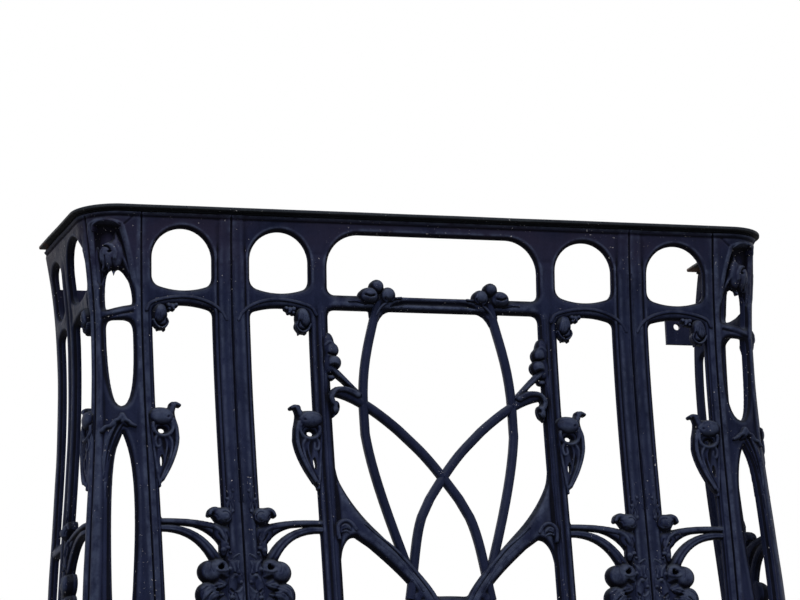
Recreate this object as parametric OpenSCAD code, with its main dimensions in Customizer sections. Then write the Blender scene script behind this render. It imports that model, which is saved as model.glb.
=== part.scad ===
/* [Overall size] */
// Width across the outer faces at the narrow waist of the profile
front_w = 1284; // [1240:2:1500]
// Depth from the front face at the waist back to the wall
depth = 300; // [290:2:420]
// Height of the handrail's top above the base
height = 1000; // [940:5:1150]

/* [Bowed profile] */
// Distance of the narrow waist below the handrail's top
waist_drop = 235; // [210:5:260]
// Height where the belly is fullest
belly_z = 130; // [100:5:180]
// How far the belly stands out past the waist
belly_out = 37.5; // [15:0.5:60]
// How far the top flares out past the waist
flare_out = 17; // [5:1:30]
// Outer radius of the rounded corners in plan, at the waist
corner_r = 52; // [46:1:60]

/* [Castings] */
// Thickness of the cast openwork
plate_t = 14; // [10:0.5:20]
// Height of the relief on the face of the castings
relief_t = 7; // [4:0.5:10]
// Clearance between separate pieces
fit_gap = 0.3; // [0.2:0.05:0.5]
// Width of a pilaster
pilaster_w = 70; // [64:1:76]
// Clear width of a bay opening
bay_w = 113; // [106:1:118]
// Width of the uprights beside the middle panel
jamb_w = 35; // [30:1:42]
// Width of the post between an outer bay and its corner seam
post_w = 20; // [16:1:26]
// Distance of the upper openings' heads below the handrail's top
head_drop = 38; // [34:1:45]
// Distance of the crossband's underside below the handrail's top
band_drop = 178; // [160:1:200]
// Height of the crossband at its narrowest
band_t = 27; // [22:1:34]
// Upper edge of the foot band
foot_z = 56; // [45:1:70]

/* [Ornament] */
// Width of the two bent stems in the middle panel
stem_w = 16; // [12:1:20]
// Width of the two crossing arms in the middle panel
arm_w = 18; // [14:1:22]
// Height of the arch's top in the middle panel
arch_top = 289; // [270:1:310]
// Height of the arch's band
arch_h = 26; // [20:1:34]
// Radius of the arch's upper edge
arch_r = 460; // [400:5:560]
// Height of the seed pods' heads
pod_z = 597; // [580:1:620]
// Height of the side arms
arm_z = 414; // [400:1:430]
// Height of the middle fruit of each branch
fruit_z = 286; // [270:1:300]

/* [Handrail and base] */
// Width of the flat handrail
rail_w = 46; // [40:1:60]
// Thickness of the flat handrail
rail_t = 8; // [6:0.5:12]
// Overhang of the handrail past the flared top
rail_over = 12; // [8:1:16]
// Height of the moulding under the handrail
moulding_h = 17; // [12:1:22]
// Width of the flat bar at the base
base_w = 50; // [46:1:60]
// Thickness of the flat bar at the base
base_t = 10; // [8:0.5:14]
// Radius of the holes for the base bolts
base_hole_r = 7; // [5:0.5:8]
// Radius of the holes for the wall bolts
wall_hole_r = 6.5; // [5:0.5:8]

/* [Hidden] */
$fn = 48;

iron = "#23262f";
iron_top = "#2a2628";
half_w = front_w / 2;
rail_z = height - rail_t;
moulding_z = rail_z - moulding_h;
casting_top = moulding_z - fit_gap;
casting_low = base_t + fit_gap;
waist_z = height - waist_drop;
head_z = height - head_drop;
band_low = height - band_drop;
band_high = band_low + band_t;
profile_steps = 16;
far = 400;

// Widths along the front, from the corner inward
corner_seam_x = half_w - 88;
pilaster_x = corner_seam_x - post_w - bay_w - pilaster_w / 2;
middle_half = pilaster_x - pilaster_w / 2 - (bay_w - 1) - jamb_w;
inner_bay_w = bay_w - 1;

// Places of the base bolts: the origin is the middle of the four in the returns
base_out = round(belly(0)) + 4;
bolt_edge = 16;
bolt_out = base_out - base_w + bolt_edge;
side_bolt_d = [90, depth - 34];
face_y = -(side_bolt_d[0] + side_bolt_d[1]) / 2;
front_bolt_x = [half_w - 70, 190];

// Outward offset of the castings' face at height z, above the waist and below it
function belly(z) = belly_out * (1 - cos(180 * (waist_z - z) / (waist_z - belly_z))) / 2;
function flare(z) = flare_out * pow((z - waist_z) / (moulding_z - waist_z), 2);
function bow(z) = z > waist_z ? flare(z) : belly(z);
function lean(z) = atan((bow(z + 10) - bow(z - 10)) / 20);

// Points of a cubic curve from a to d
function curve(a, b, c, d, n = 8) = [for (i = [0:n]) let (t = i / n, s = 1 - t)
    s * s * s * a + 3 * s * s * t * b + 3 * s * t * t * c + t * t * t * d];

// The same points on the other side of x = 0, in turned order
function flip(p) = [for (i = [len(p) - 1:-1:0]) [-p[i].x, p[i].y]];
function moved(p, v) = [for (q = p) q + v];

// Left-hand normal of a polyline at point i
function side(p, i) = let (a = p[max(i - 1, 0)], b = p[min(i + 1, len(p) - 1)],
    v = b - a) [-v.y, v.x] / norm(v);

module ribbon(p, w0, w1) {
    n = len(p) - 1;
    polygon(concat(
        [for (i = [0:n]) p[i] + side(p, i) * (w0 + (w1 - w0) * i / n) / 2],
        [for (i = [n:-1:0]) p[i] - side(p, i) * (w0 + (w1 - w0) * i / n) / 2]));
}

module box2(x0, x1, z0, z1) {
    translate([x0, z0]) square([x1 - x0, z1 - z0]);
}

// An upright pointed leaf about its centre
module leaf2(length, width) {
    r = (length * length + width * width) / (4 * width);
    intersection_for(s = [-1, 1]) translate([s * (r - width / 2), 0]) circle(r, $fn = 96);
}

// Section through the bowed face, from low to high, with the offsets inner and outer
module bowed_section(inner, outer, low, high) {
    step = (high - low) / profile_steps;
    polygon(concat(
        [for (i = [0:profile_steps]) [bow(low + i * step) + outer, low + i * step]],
        [for (i = [profile_steps:-1:0]) [bow(low + i * step) + inner, low + i * step]]));
}

// Runs of a section, drawn as (offset, height), along the front, a return or a corner
module front_run(x0, x1) {
    translate([x1, face_y, 0]) rotate([90, 0, -90]) linear_extrude(x1 - x0) children();
}

module return_run(d0, d1) {
    translate([half_w, face_y + d1, 0]) rotate([90, 0, 0]) linear_extrude(d1 - d0) children();
}

module corner_run(a0, a1) {
    translate([half_w - corner_r, face_y + corner_r, 0]) rotate([0, 0, a0 - 90])
        rotate_extrude(angle = a1 - a0) translate([corner_r, 0]) children();
}

module along_u() {
    front_run(corner_r - half_w, half_w - corner_r) children();
    for (s = [0, 1]) mirror([s, 0, 0]) {
        corner_run(0, 90) children();
        return_run(corner_r, depth) children();
    }
}

// A flat pattern of (x, height) pushed through the front, or of (depth, height) through a return
module through_front() {
    translate([0, face_y, 0]) rotate([90, 0, 0]) linear_extrude(far, center = true) children();
}

module through_return() {
    translate([half_w, face_y, 0]) rotate([90, 0, 90]) linear_extrude(far, center = true) children();
}

// Places on the face, with -Y outward and leaning with the bow
module on_front(x, z) {
    translate([x, face_y - bow(z), z]) rotate([lean(z), 0, 0]) children();
}

module on_return(d, z) {
    translate([half_w + bow(z), face_y + d, z]) rotate([0, 0, 90]) rotate([lean(z), 0, 0]) children();
}

/* Bay pattern, drawn from a pilaster's edge x0 to a post's edge x1 */

bay_in = pilaster_w / 2;
sag = 12;
foot_r = 22;
arch_rise = 10;

function arc_r(w, rise) = (w * w / 4 + rise * rise) / (2 * rise);

module upper_opening(x0, w) {
    r = w / 2;
    box2(x0, x0 + w, band_high + sag, head_z - r);
    intersection() {
        box2(x0, x0 + w, head_z - r - 1, head_z);
        translate([x0 + r, head_z - r]) circle(r);
    }
    intersection() {
        box2(x0, x0 + w, band_high, band_high + sag + 1);
        translate([x0 + r, band_high + arc_r(w, sag)]) circle(arc_r(w, sag), $fn = 96);
    }
}

module lower_opening(x0, w) {
    r = w / 2;
    intersection() {
        box2(x0, x0 + w, band_low - arch_rise - 1, band_low);
        translate([x0 + r, band_low - arc_r(w, arch_rise)]) circle(arc_r(w, arch_rise), $fn = 96);
    }
    box2(x0, x0 + w, foot_z + foot_r, band_low - arch_rise);
    box2(x0 + foot_r, x0 + w - foot_r, foot_z, foot_z + foot_r + 1);
    for (x = [x0 + foot_r, x0 + w - foot_r]) translate([x, foot_z + foot_r]) circle(foot_r);
}

// Half an arched bead over the head of a bay
module head_bead(x0, w, out, thick) {
    r = arc_r(w, arch_rise);
    intersection() {
        box2(x0 - 3, x0 + w + 8, band_low - 20, band_high);
        translate([x0 + w / 2, band_low - r]) difference() {
            circle(r + out + thick, $fn = 180);
            circle(r + out, $fn = 180);
        }
    }
}

arm_t = 24;
branch_w = 24;

module side_arm(x0, x1) {
    // the arm reaches from the pilaster to the far post and drops a branch to the fruit
    polygon(concat(
        curve([x1 + 1, arm_z + arm_t / 2], [x0 + 60, arm_z + arm_t / 2 + 1], [x0 + 20, arm_z + 6],
            [x0 - 1, arm_z]),
        [[x0 - 1, fruit_z + 40], [x0 + branch_w, fruit_z + 40]],
        curve([x0 + branch_w + 1, arm_z - 64], [x0 + 32, arm_z - 32], [x0 + 55, arm_z - arm_t / 2],
            [x1 + 1, arm_z - arm_t / 2])));
}

module arm_slot(x0) {
    polygon(concat(
        curve([x0 + 42, arm_z - 10], [x0 + 20, arm_z - 15], [x0 + 4, arm_z - 30], [x0 + 1, arm_z - 62]),
        curve([x0 + 6, arm_z - 56], [x0 + 16, arm_z - 36], [x0 + 24, arm_z - 22], [x0 + 42, arm_z - 10])));
}

// Two ridges along the arm and its branch
module arm_ridges(x0, x1) {
    w = 7;
    ribbon(curve([x1 - 4, arm_z + 4], [x0 + 60, arm_z + 6], [x0 + 40, arm_z + 4], [x0 + 24, arm_z - 1]), w, w);
    ribbon(curve([x1 - 4, arm_z - 6], [x0 + 62, arm_z - 4], [x0 + 34, arm_z - 22], [x0 + 17, fruit_z + 66]),
        w, w + 2);
}

// Fruits of a branch: [distance from the pilaster, height over the middle one, radius]
fruit = [[30, 42, 20.5], [36, 0, 21], [27, -41, 19.5]];
curl = [15, 18, 11];

module fruit_lobes(x0) {
    for (f = fruit) translate([x0 + f[0], fruit_z + f[1]]) circle(f[2] + 0.5);
    box2(x0 - 1, x0 + branch_w, fruit_z - 35, fruit_z + 45);
}

module leaf_curl(x0) {
    // the rolled leaf tip on the flank of the pilaster
    translate([x0 + curl[0], arm_z + curl[1]]) circle(curl[2] + 1);
    box2(x0 - 1, x0 + curl[0], arm_z + curl[1] - 12, arm_z + curl[1] + 12);
}

module pod_shape(x1) {
    // outline of a hanging seed pod with a hooked tip
    polygon(moved(concat(
        [[1, 34], [-18, 33]],
        curve([-26, 42], [-34, 44], [-42, 41], [-43, 36], 4),
        curve([-35, 31], [-31, 24], [-38, 12], [-40, -2], 6),
        curve([-42, -24], [-39, -48], [-24, -86], [1, -112], 8)), [x1, pod_z]));
}

bud = [14, 27, 15.5];
bud_lobe = [36, 4, 7];

module bud_shape(x1) {
    translate([x1 - bud[0], band_low - bud[1]]) circle(bud[2] + 0.5);
    translate([x1 - bud_lobe[0], band_low - bud_lobe[1]]) circle(bud_lobe[2] + 0.5);
    box2(x1 - bud[0] - 10, x1 + 1, band_low - bud[1], band_low);
    polygon([[x1 - 24, band_low - 38], [x1 - 12, band_low - 49], [x1 - 4, band_low - 38]]);
}

module bay_pattern(x0, w) {
    difference() {
        union() {
            upper_opening(x0, w);
            lower_opening(x0, w);
        }
        side_arm(x0, x0 + w);
        fruit_lobes(x0);
        leaf_curl(x0);
        pod_shape(x0 + w);
        bud_shape(x0 + w);
    }
    arm_slot(x0);
}

/* Middle panel: u is a share of its half width, t of its height from the arch to the crossband */

head_r = 62;
sill_r = 14;
berries = [[110, 17, 15], [127, -1, 18], [89, 1, 18]];
jamb_lobes = [[200, 74, 13], [198, 97, 16]];

function mid(u, t) = [u * middle_half, arch_top + t * (band_low - arch_top)];
function low(x, f) = [x, foot_z + f * (arch_top - arch_h - foot_z)];

module middle_head() {
    box2(-middle_half, middle_half, band_high + sill_r, head_z - head_r);
    box2(head_r - middle_half, middle_half - head_r, head_z - head_r - 1, head_z);
    box2(sill_r - middle_half, middle_half - sill_r, band_high, band_high + sill_r + 1);
    intersection() {
        box2(-middle_half, middle_half, head_z - head_r - 1, head_z);
        for (s = [-1, 1]) translate([s * (middle_half - head_r), head_z - head_r]) circle(head_r, $fn = 96);
    }
    for (s = [-1, 1]) translate([s * (middle_half - sill_r), band_high + sill_r]) circle(sill_r);
}

module arch_disc(top, radius) {
    intersection() {
        box2(-middle_half - 1, middle_half + 1, foot_z + 60, top + 1);
        translate([0, top - radius]) circle(radius, $fn = 180);
    }
}

module both_sides() {
    children();
    mirror([1, 0]) children();
}

module braces() {
    both_sides() polygon(concat(
        curve(mid(1.01, 0.43), mid(0.94, 0.355), mid(0.82, 0.285), mid(0.63, 0.215)),
        curve(mid(0.49, 0.16), mid(0.29, 0.077), mid(0.15, 0.002), mid(0.08, -0.05)),
        [mid(0.08, -0.08), mid(-0.01, -0.12), mid(0.12, -0.1)],
        curve(mid(0.29, -0.008), mid(0.44, 0.068), mid(0.59, 0.118), mid(0.735, 0.167)),
        curve(mid(0.86, 0.2), mid(0.93, 0.2), mid(0.96, 0.178), mid(1.01, 0.133))));
}

module brace_lines() {
    both_sides() {
        ribbon(concat(
            curve(mid(0.98, 0.34), mid(0.92, 0.298), mid(0.78, 0.246), mid(0.667, 0.212)),
            curve(mid(0.55, 0.16), mid(0.39, 0.096), mid(0.245, 0.032), mid(0.13, -0.028))), 8, 6);
        ribbon(concat(
            curve(mid(0.88, 0.225), mid(0.82, 0.212), mid(0.716, 0.182), mid(0.627, 0.156)),
            curve(mid(0.54, 0.124), mid(0.42, 0.077), mid(0.294, 0.02), mid(0.2, -0.036))), 8, 6);
    }
}

module trunk() {
    both_sides() polygon(concat(
        [[-1, foot_z - 1], low(-1, 1)],
        curve(low(26, 1), low(22, 0.7), low(16, 0.45), low(16, 0.36)),
        curve(low(16, 0.21), low(26, 0.12), low(46, 0.07), [70, foot_z - 1])));
}

module jamb_bumps() {
    both_sides() {
        for (j = jamb_lobes) translate([middle_half - 204 + j[0], band_low - j[1]]) circle(j[2] + 0.5);
        translate(mid(0.975, 0.672)) circle(12);
    }
}

module middle_openings() {
    difference() {
        box2(-middle_half, middle_half, arch_top - 60, band_low);
        arch_disc(arch_top, arch_r);
        braces();
        jamb_bumps();
    }
    difference() {
        arch_disc(arch_top - arch_h, arch_r);
        braces();
        trunk();
    }
    difference() {
        union() {
            box2(-middle_half, middle_half, foot_z + foot_r, foot_z + 61);
            box2(foot_r - middle_half, middle_half - foot_r, foot_z, foot_z + foot_r + 1);
            for (s = [-1, 1]) translate([s * (middle_half - foot_r), foot_z + foot_r]) circle(foot_r);
        }
        trunk();
    }
}

// The bent stems and the crossing arms, narrowed by slim
module stems(slim = 0) {
    both_sides() {
        ribbon(concat(
            curve(mid(0.54, 1), mid(0.59, 0.92), mid(0.7, 0.827), mid(0.701, 0.66)),
            curve(mid(0.7, 0.565), mid(0.672, 0.47), mid(0.6, 0.34), mid(0.35, 0.05))),
            stem_w - slim, stem_w - slim);
        ribbon(concat(
            curve(mid(1.01, 0.711), mid(0.78, 0.7), mid(0.564, 0.64), mid(0.387, 0.58)),
            curve(mid(0.245, 0.527), mid(0.118, 0.48), mid(0, 0.416), mid(-0.137, 0.34)),
            curve(mid(-0.225, 0.276), mid(-0.304, 0.2), mid(-0.324, 0.1), mid(-0.382, -0.013))),
            arm_w - slim, arm_w - slim);
        ribbon(curve(mid(1.01, 0.81), mid(0.93, 0.78), mid(0.84, 0.74), mid(0.73, 0.7)),
            arm_w / 2 - slim / 3, arm_w / 2 - slim / 3);
    }
}

/* Front castings */

// A layer of the bowed front between two offsets, cut to a flat pattern
module front_layer(inner, outer) {
    intersection() {
        through_front() children();
        front_run(-half_w, half_w) bowed_section(inner, outer, casting_low, casting_top);
    }
}

module bay_casting() {
    color(iron) front_layer(-plate_t, 0) difference() {
        box2(pilaster_x + fit_gap / 2, corner_seam_x, casting_low - 1, casting_top + 1);
        translate([pilaster_x, 0]) bay_pattern(bay_in, bay_w);
    }
}

module middle_casting() {
    color(iron) front_layer(-plate_t, 0) difference() {
        box2(fit_gap / 2 - pilaster_x, pilaster_x - fit_gap / 2, casting_low - 1, casting_top + 1);
        for (s = [0, 1]) mirror([s, 0]) translate([pilaster_x, 0]) mirror([1, 0])
            bay_pattern(bay_in, inner_bay_w);
        difference() {
            middle_head();
            both_sides() for (b = berries) translate([b[0], band_high + b[1]]) circle(b[2]);
        }
        middle_openings();
    }
}

module middle_tracery() {
    // each bar is a flat strip with a narrower ridge on its face
    color(iron) for (layer = [[-plate_t, 0, 0], [-plate_t + 1, 4, 7]])
        front_layer(layer[0], layer[1]) difference() {
            stems(layer[2]);
            difference() {
                box2(-middle_half - 40, middle_half + 40, arch_top - 60, band_low + 40);
                offset(delta = -fit_gap) middle_openings();
            }
        }
}

/* Corners and returns */

corner_hole = 28;
cut_a = 10;
leaf_foot = foot_z + 20;
leaf_tip = pod_z - 9;

// A point of the corner's leaf-shaped opening, by shares of its half width and of its height
function leaf(u, f) = [u * corner_hole, leaf_foot + f * (leaf_tip - leaf_foot)];

module corner_cut() {
    translate([half_w - corner_r, face_y + corner_r, 0]) rotate([0, 0, cut_a]) rotate([90, 0, 0])
        linear_extrude(200) translate([-4, 0]) children();
}

module corner_section(inner, outer) {
    front_run(corner_seam_x + fit_gap, half_w - corner_r)
        bowed_section(inner, outer, casting_low, casting_top);
    corner_run(0, 90) bowed_section(inner, outer, casting_low, casting_top);
}

module corner_pattern() {
    r = corner_hole;
    // opening under the niche, its head drawn down to a tip
    difference() {
        union() {
            box2(-r, r, band_low + 2, band_high + 4);
            for (s = [-1, 1]) translate([s * 11, band_high + 4]) circle(r - 11);
        }
        polygon([[-8, band_high + 30], [8, band_high + 30], [0, band_high + 8]]);
    }
    // long tapering opening
    polygon(concat(
        curve([-r, band_low - 56], [-r, band_low - 28], [r, band_low - 28], [r, band_low - 56]),
        curve([r, band_low - 90], [r - 3, pod_z + 90], [r - 6, pod_z + 40], [0, pod_z + 40]),
        flip(curve([r, band_low - 90], [r - 3, pod_z + 90], [r - 6, pod_z + 40], [0, pod_z + 40]))));
    // leaf-shaped opening
    polygon(concat(
        curve(leaf(0, 1), leaf(1, 0.9), leaf(1.14, 0.63), leaf(0.9, 0.44)),
        curve(leaf(0.72, 0.28), leaf(0.5, 0.105), leaf(0.28, 0.04), leaf(0, 0)),
        flip(curve(leaf(0.72, 0.28), leaf(0.5, 0.105), leaf(0.28, 0.04), leaf(0, 0))),
        flip(curve(leaf(0, 1), leaf(1, 0.9), leaf(1.14, 0.63), leaf(0.9, 0.44)))));
}

module corner_casting() {
    color(iron) difference() {
        corner_section(-plate_t, 0);
        corner_cut() corner_pattern();
    }
}

// The return's layout is measured from the wall, and its bay takes what is left at the corner
return_post_w = 20;
return_slot_w = 62;
return_pilaster_w = 54;
return_post = depth - return_post_w;
return_pilaster = [return_post - return_slot_w - return_pilaster_w, return_post - return_slot_w];
return_edge = 8;
return_x1 = corner_r + return_edge;

module return_pattern() {
    w = return_pilaster[0] - return_x1;
    translate([return_pilaster[0], 0]) mirror([1, 0]) bay_pattern(0, w);
    upper_opening(return_pilaster[1], return_post - return_pilaster[1]);
    difference() {
        lower_opening(return_pilaster[1], return_post - return_pilaster[1]);
        box2(return_pilaster[1] - 1, return_post + 1, arm_z - 12, arm_z + 10);
    }
}

module return_layer(inner, outer) {
    intersection() {
        through_return() children();
        return_run(corner_r + fit_gap, depth) bowed_section(inner, outer, casting_low, casting_top);
    }
}

module return_casting() {
    color(iron) return_layer(-plate_t, 0) difference() {
        box2(corner_r, depth + 1, casting_low - 1, casting_top + 1);
        return_pattern();
    }
}

/* Relief pieces on the face of the castings */

rib_w = 9;
rib_top = head_z - 62;
leaf_low = fruit_z - 62;
leaf_high = arm_z + 40;

module front_relief(rise) {
    front_layer(fit_gap, rise) children();
}

module rib2(x) {
    box2(x - rib_w / 2, x + rib_w / 2, leaf_high, rib_top);
    box2(x - rib_w / 2, x + rib_w / 2, foot_z, leaf_low);
}

module pilaster_ribs() {
    color(iron) front_relief(relief_t) translate([pilaster_x, 0]) for (s = [-1, 1], x = [9, 27])
        rib2(s * x);
}

module leaf_group() {
    // one side of the leaves that climb a pilaster between its ribs
    leaves = [[20, 132, 52, 18, -14], [12, 88, 62, 17, 10], [21, 40, 54, 18, -20], [11, -8, 60, 16, 8],
        [20, -44, 44, 17, -24]];
    for (v = leaves) translate([v[0], fruit_z + v[1]]) rotate(v[4]) leaf2(v[2], v[3]);
}

module pilaster_leaves() {
    color(iron) front_relief(relief_t - 2) translate([pilaster_x, 0]) both_sides() intersection() {
        leaf_group();
        box2(1, bay_in - 1, leaf_low, leaf_high);
    }
}

// A half ball with a flat back on the face
module half_ball(r) {
    translate([0, -2 * fit_gap, 0]) difference() {
        sphere(r);
        translate([-2 * r, 0, -2 * r]) cube(4 * r);
    }
}

// A round boss turned from half its outline, drawn as (radius, rise)
module turned_boss(outline) {
    translate([0, -2 * fit_gap, 0]) rotate([90, 0, 0]) rotate_extrude() polygon(outline);
}

pod_outline = [[0, 0], [18, 0], [19.5, 3], [18.5, 8], [16, 10], [13.5, 8], [12, 4], [6, 3.5], [4, 8], [0, 9]];
pod_head_in = 12;

module pod_ribs(x1) {
    translate([x1, pod_z]) {
        ribbon(curve([-34, -18], [-36, -40], [-24, -76], [-5, -98]), 7, 5);
        ribbon(curve([-22, -26], [-22, -46], [-14, -66], [-4, -82]), 7, 5);
        ribbon(curve([-10, -27], [-8, -40], [-4, -54], [-3, -66]), 6, 4);
        ribbon(curve([-2, 29], [-14, 32], [-30, 28], [-37, 37]), 9, 6);
    }
}

module pod(x1) {
    color(iron) {
        on_front(x1 - pod_head_in, pod_z) turned_boss(pod_outline);
        front_relief(relief_t - 1) pod_ribs(x1);
    }
}

module bud(x1) {
    color(iron) {
        on_front(x1 - bud[0], band_low - bud[1]) half_ball(bud[2]);
        on_front(x1 - bud_lobe[0], band_low - bud_lobe[1]) half_ball(bud_lobe[2]);
    }
}

module fruits(x0) {
    for (i = [0:2]) on_front(x0 + fruit[i][0], fruit_z + fruit[i][1]) difference() {
        half_ball(fruit[i][2]);
        // the first fruit is open where its calyx was
        if (i == 0) translate([-5, 1 - fruit[i][2] / 2, 5]) rotate([90, 0, 0]) cylinder(r = 5, h = fruit[i][2]);
    }
}

module branch(x0, x1) {
    color(iron) {
        fruits(x0);
        on_front(x0 + curl[0], arm_z + curl[1]) half_ball(curl[2]);
        front_relief(relief_t - 3) arm_ridges(x0, x1);
    }
}

module head_beads() {
    color(iron) front_relief(4) translate([pilaster_x, 0]) {
        head_bead(bay_in, bay_w, 7, 6);
        mirror([1, 0]) head_bead(bay_in, inner_bay_w, 7, 6);
    }
}

scroll_outline = [[0, 0], [15, 0], [15, 4], [12.5, 6], [10, 4.5], [8.5, 4.5], [6, 7], [0, 8]];

module jamb_relief() {
    color(iron) {
        front_relief(relief_t) box2(middle_half + jamb_w - 18, middle_half + jamb_w - 9, foot_z, band_low + 8);
        for (j = jamb_lobes) on_front(middle_half - 204 + j[0], band_low - j[1]) half_ball(j[2]);
        on_front(mid(0.975, 0.672).x, mid(0.975, 0.672).y) half_ball(10);
        on_front(mid(0.966, 0.231).x, mid(0.966, 0.231).y) turned_boss(scroll_outline);
    }
}

module brace_ridges() {
    color(iron) {
        front_relief(relief_t - 2) brace_lines();
        front_relief(relief_t - 3) difference() {
            arch_disc(arch_top - 8, arch_r);
            arch_disc(arch_top - arch_h + 8, arch_r);
            braces();
            both_sides() box2(middle_half - 4, middle_half + 2, 0, arch_top);
        }
    }
}

module band_berries() {
    // the uppermost berry is cut back where the two in front of it lie
    color(iron) {
        for (i = [1, 2]) on_front(berries[i][0], band_high + berries[i][1]) half_ball(berries[i][2] - 0.5);
        difference() {
            on_front(berries[0][0], band_high + berries[0][1]) half_ball(berries[0][2] - 0.5);
            for (i = [1, 2]) translate([berries[i][0], face_y + 10, band_high + berries[i][1]])
                rotate([90, 0, 0]) cylinder(r = berries[i][2] - 0.5 + fit_gap, h = 60);
        }
    }
}

module return_relief() {
    middle = (return_pilaster[0] + return_pilaster[1]) / 2;
    color(iron) {
        return_layer(fit_gap, relief_t) for (x = [-14, 14]) translate([middle, 0]) rib2(x);
        return_layer(fit_gap, relief_t - 1) mirror([1, 0]) pod_ribs(-return_x1);
        return_layer(fit_gap, relief_t - 3) mirror([1, 0])
            arm_ridges(-return_pilaster[0], -return_x1);
        on_return(return_x1 + pod_head_in, pod_z) turned_boss(pod_outline);
        on_return(return_x1 + bud[0], band_low - bud[1]) half_ball(bud[2]);
        for (f = fruit) on_return(return_pilaster[0] - f[0], fruit_z + f[1]) half_ball(f[2]);
        on_return(return_pilaster[0] - curl[0], arm_z + curl[1]) half_ball(curl[2]);
    }
}

// Ribs on the corner: over the niche, over the leaf-shaped opening and down its sides
module corner_lines() {
    r = corner_hole;
    arch = curve([0, head_z - 14], [r - 6, head_z - 14], [r + 7, head_z - 34], [r + 7, band_low + 10]);
    point = curve([0, pod_z + 20], [10, pod_z], [r, pod_z - 30], [r + 6, pod_z - 110]);
    both_sides() {
        ribbon(arch, 7, 7);
        ribbon(point, 7, 7);
    }
}

module corner_ribs() {
    color(iron) intersection() {
        corner_section(fit_gap, 5);
        corner_cut() corner_lines();
    }
}

drop_z = band_high + 56;
drop_r = 17;
drop_outline = [[0, -40], [4, -38], [7, -30], [10, -18], [16, -8], [17, 2], [13, 12], [6, 18], [0, 19]];

module corner_drop() {
    // a hanging bud with a flat back, turned about its own height and set on the round of the corner
    color(iron) translate([half_w - corner_r, face_y + corner_r, drop_z]) rotate([0, 0, cut_a - 90])
        translate([corner_r + bow(drop_z + 19) + fit_gap, 0, 0]) difference() {
            rotate_extrude() polygon(drop_outline);
            translate([-3 * drop_r, -3 * drop_r / 2, -60]) cube([3 * drop_r, 3 * drop_r, 120]);
        }
}

/* Rails and fixings */

top_out = flare_out + rail_over;
rail_edge = 1.5;

module handrail() {
    // flat bar with its edges taken off
    e = rail_edge;
    color(iron_top) along_u() polygon([[top_out - rail_w, rail_z], [top_out - e, rail_z],
        [top_out, rail_z + e], [top_out, height - e], [top_out - e, height],
        [top_out - rail_w + e, height], [top_out - rail_w, height - e]]);
}

module rail_moulding() {
    color(iron_top) along_u() polygon([[flare_out - plate_t, moulding_z], [flare_out + 3, moulding_z],
        [flare_out + 3, moulding_z + 5], [flare_out + 8, moulding_z + 8],
        [flare_out + 8, rail_z - fit_gap], [flare_out - plate_t, rail_z - fit_gap]]);
}

module base_bar() {
    color(iron) difference() {
        along_u() box2(base_out - base_w, base_out, 0, base_t);
        for (s = [-1, 1], d = side_bolt_d) translate([s * (half_w + bolt_out), face_y + d, -1])
            cylinder(r = base_hole_r, h = base_t + 2);
        for (s = [-1, 1], x = front_bolt_x) translate([s * x, face_y - bolt_out, -1])
            cylinder(r = base_hole_r, h = base_t + 2);
    }
}

lug_in = 70;
lug_hole_in = 48;
lug_h = 70;
lug_t = 8;
upper_lug_z = height - 120;
lower_lug_z = 150;

module wall_lug(z) {
    // a plate on the inside of the return, its outer edge following the bow
    color(iron) difference() {
        intersection() {
            return_run(depth - lug_t, depth)
                bowed_section(-lug_in - 60, -plate_t - fit_gap, casting_low, casting_top);
            translate([half_w - lug_in, face_y, z - lug_h / 2]) cube([200, depth + 1, lug_h]);
        }
        translate([half_w - lug_hole_in, face_y + depth + 1, z]) rotate([90, 0, 0])
            cylinder(r = wall_hole_r, h = lug_t + 2);
    }
}

// The same piece on the other side of the front, and on the other side of its pilaster
module on_left() {
    mirror([1, 0, 0]) children();
}

module inner_side() {
    translate([2 * pilaster_x, 0, 0]) mirror([1, 0, 0]) children();
}

bay_x0 = pilaster_x + bay_in;
outer_post = bay_x0 + bay_w;
inner_post = bay_x0 + inner_bay_w;

handrail();
rail_moulding();
base_bar();
middle_casting();
middle_tracery();
on_left() bay_casting();  // left_bay_casting
bay_casting();  // right_bay_casting
on_left() corner_casting();  // left_corner_casting
corner_casting();  // right_corner_casting
on_left() return_casting();  // left_return_casting
return_casting();  // right_return_casting
on_left() pilaster_ribs();  // left_pilaster_ribs
pilaster_ribs();  // right_pilaster_ribs
on_left() pilaster_leaves();  // left_pilaster_leaves
pilaster_leaves();  // right_pilaster_leaves
on_left() return_relief();  // left_return_relief
return_relief();  // right_return_relief
on_left() jamb_relief();  // left_jamb_relief
jamb_relief();  // right_jamb_relief
on_left() corner_ribs();  // left_corner_ribs
corner_ribs();  // right_corner_ribs
on_left() pod(outer_post);  // left_outer_pod
on_left() inner_side() pod(inner_post);  // left_inner_pod
inner_side() pod(inner_post);  // right_inner_pod
pod(outer_post);  // right_outer_pod
on_left() bud(outer_post);  // left_outer_bud
on_left() inner_side() bud(inner_post);  // left_inner_bud
inner_side() bud(inner_post);  // right_inner_bud
bud(outer_post);  // right_outer_bud
on_left() branch(bay_x0, outer_post);  // left_outer_branch
on_left() inner_side() branch(bay_x0, inner_post);  // left_inner_branch
inner_side() branch(bay_x0, inner_post);  // right_inner_branch
branch(bay_x0, outer_post);  // right_outer_branch
on_left() band_berries();  // left_band_berries
band_berries();  // right_band_berries
on_left() corner_drop();  // left_corner_drop
corner_drop();  // right_corner_drop
on_left() head_beads();  // left_crossband_beads
head_beads();  // right_crossband_beads
brace_ridges();
on_left() wall_lug(upper_lug_z);  // left_upper_wall_lug
on_left() wall_lug(lower_lug_z);  // left_lower_wall_lug
wall_lug(upper_lug_z);  // right_upper_wall_lug
wall_lug(lower_lug_z);  // right_lower_wall_lug
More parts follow.
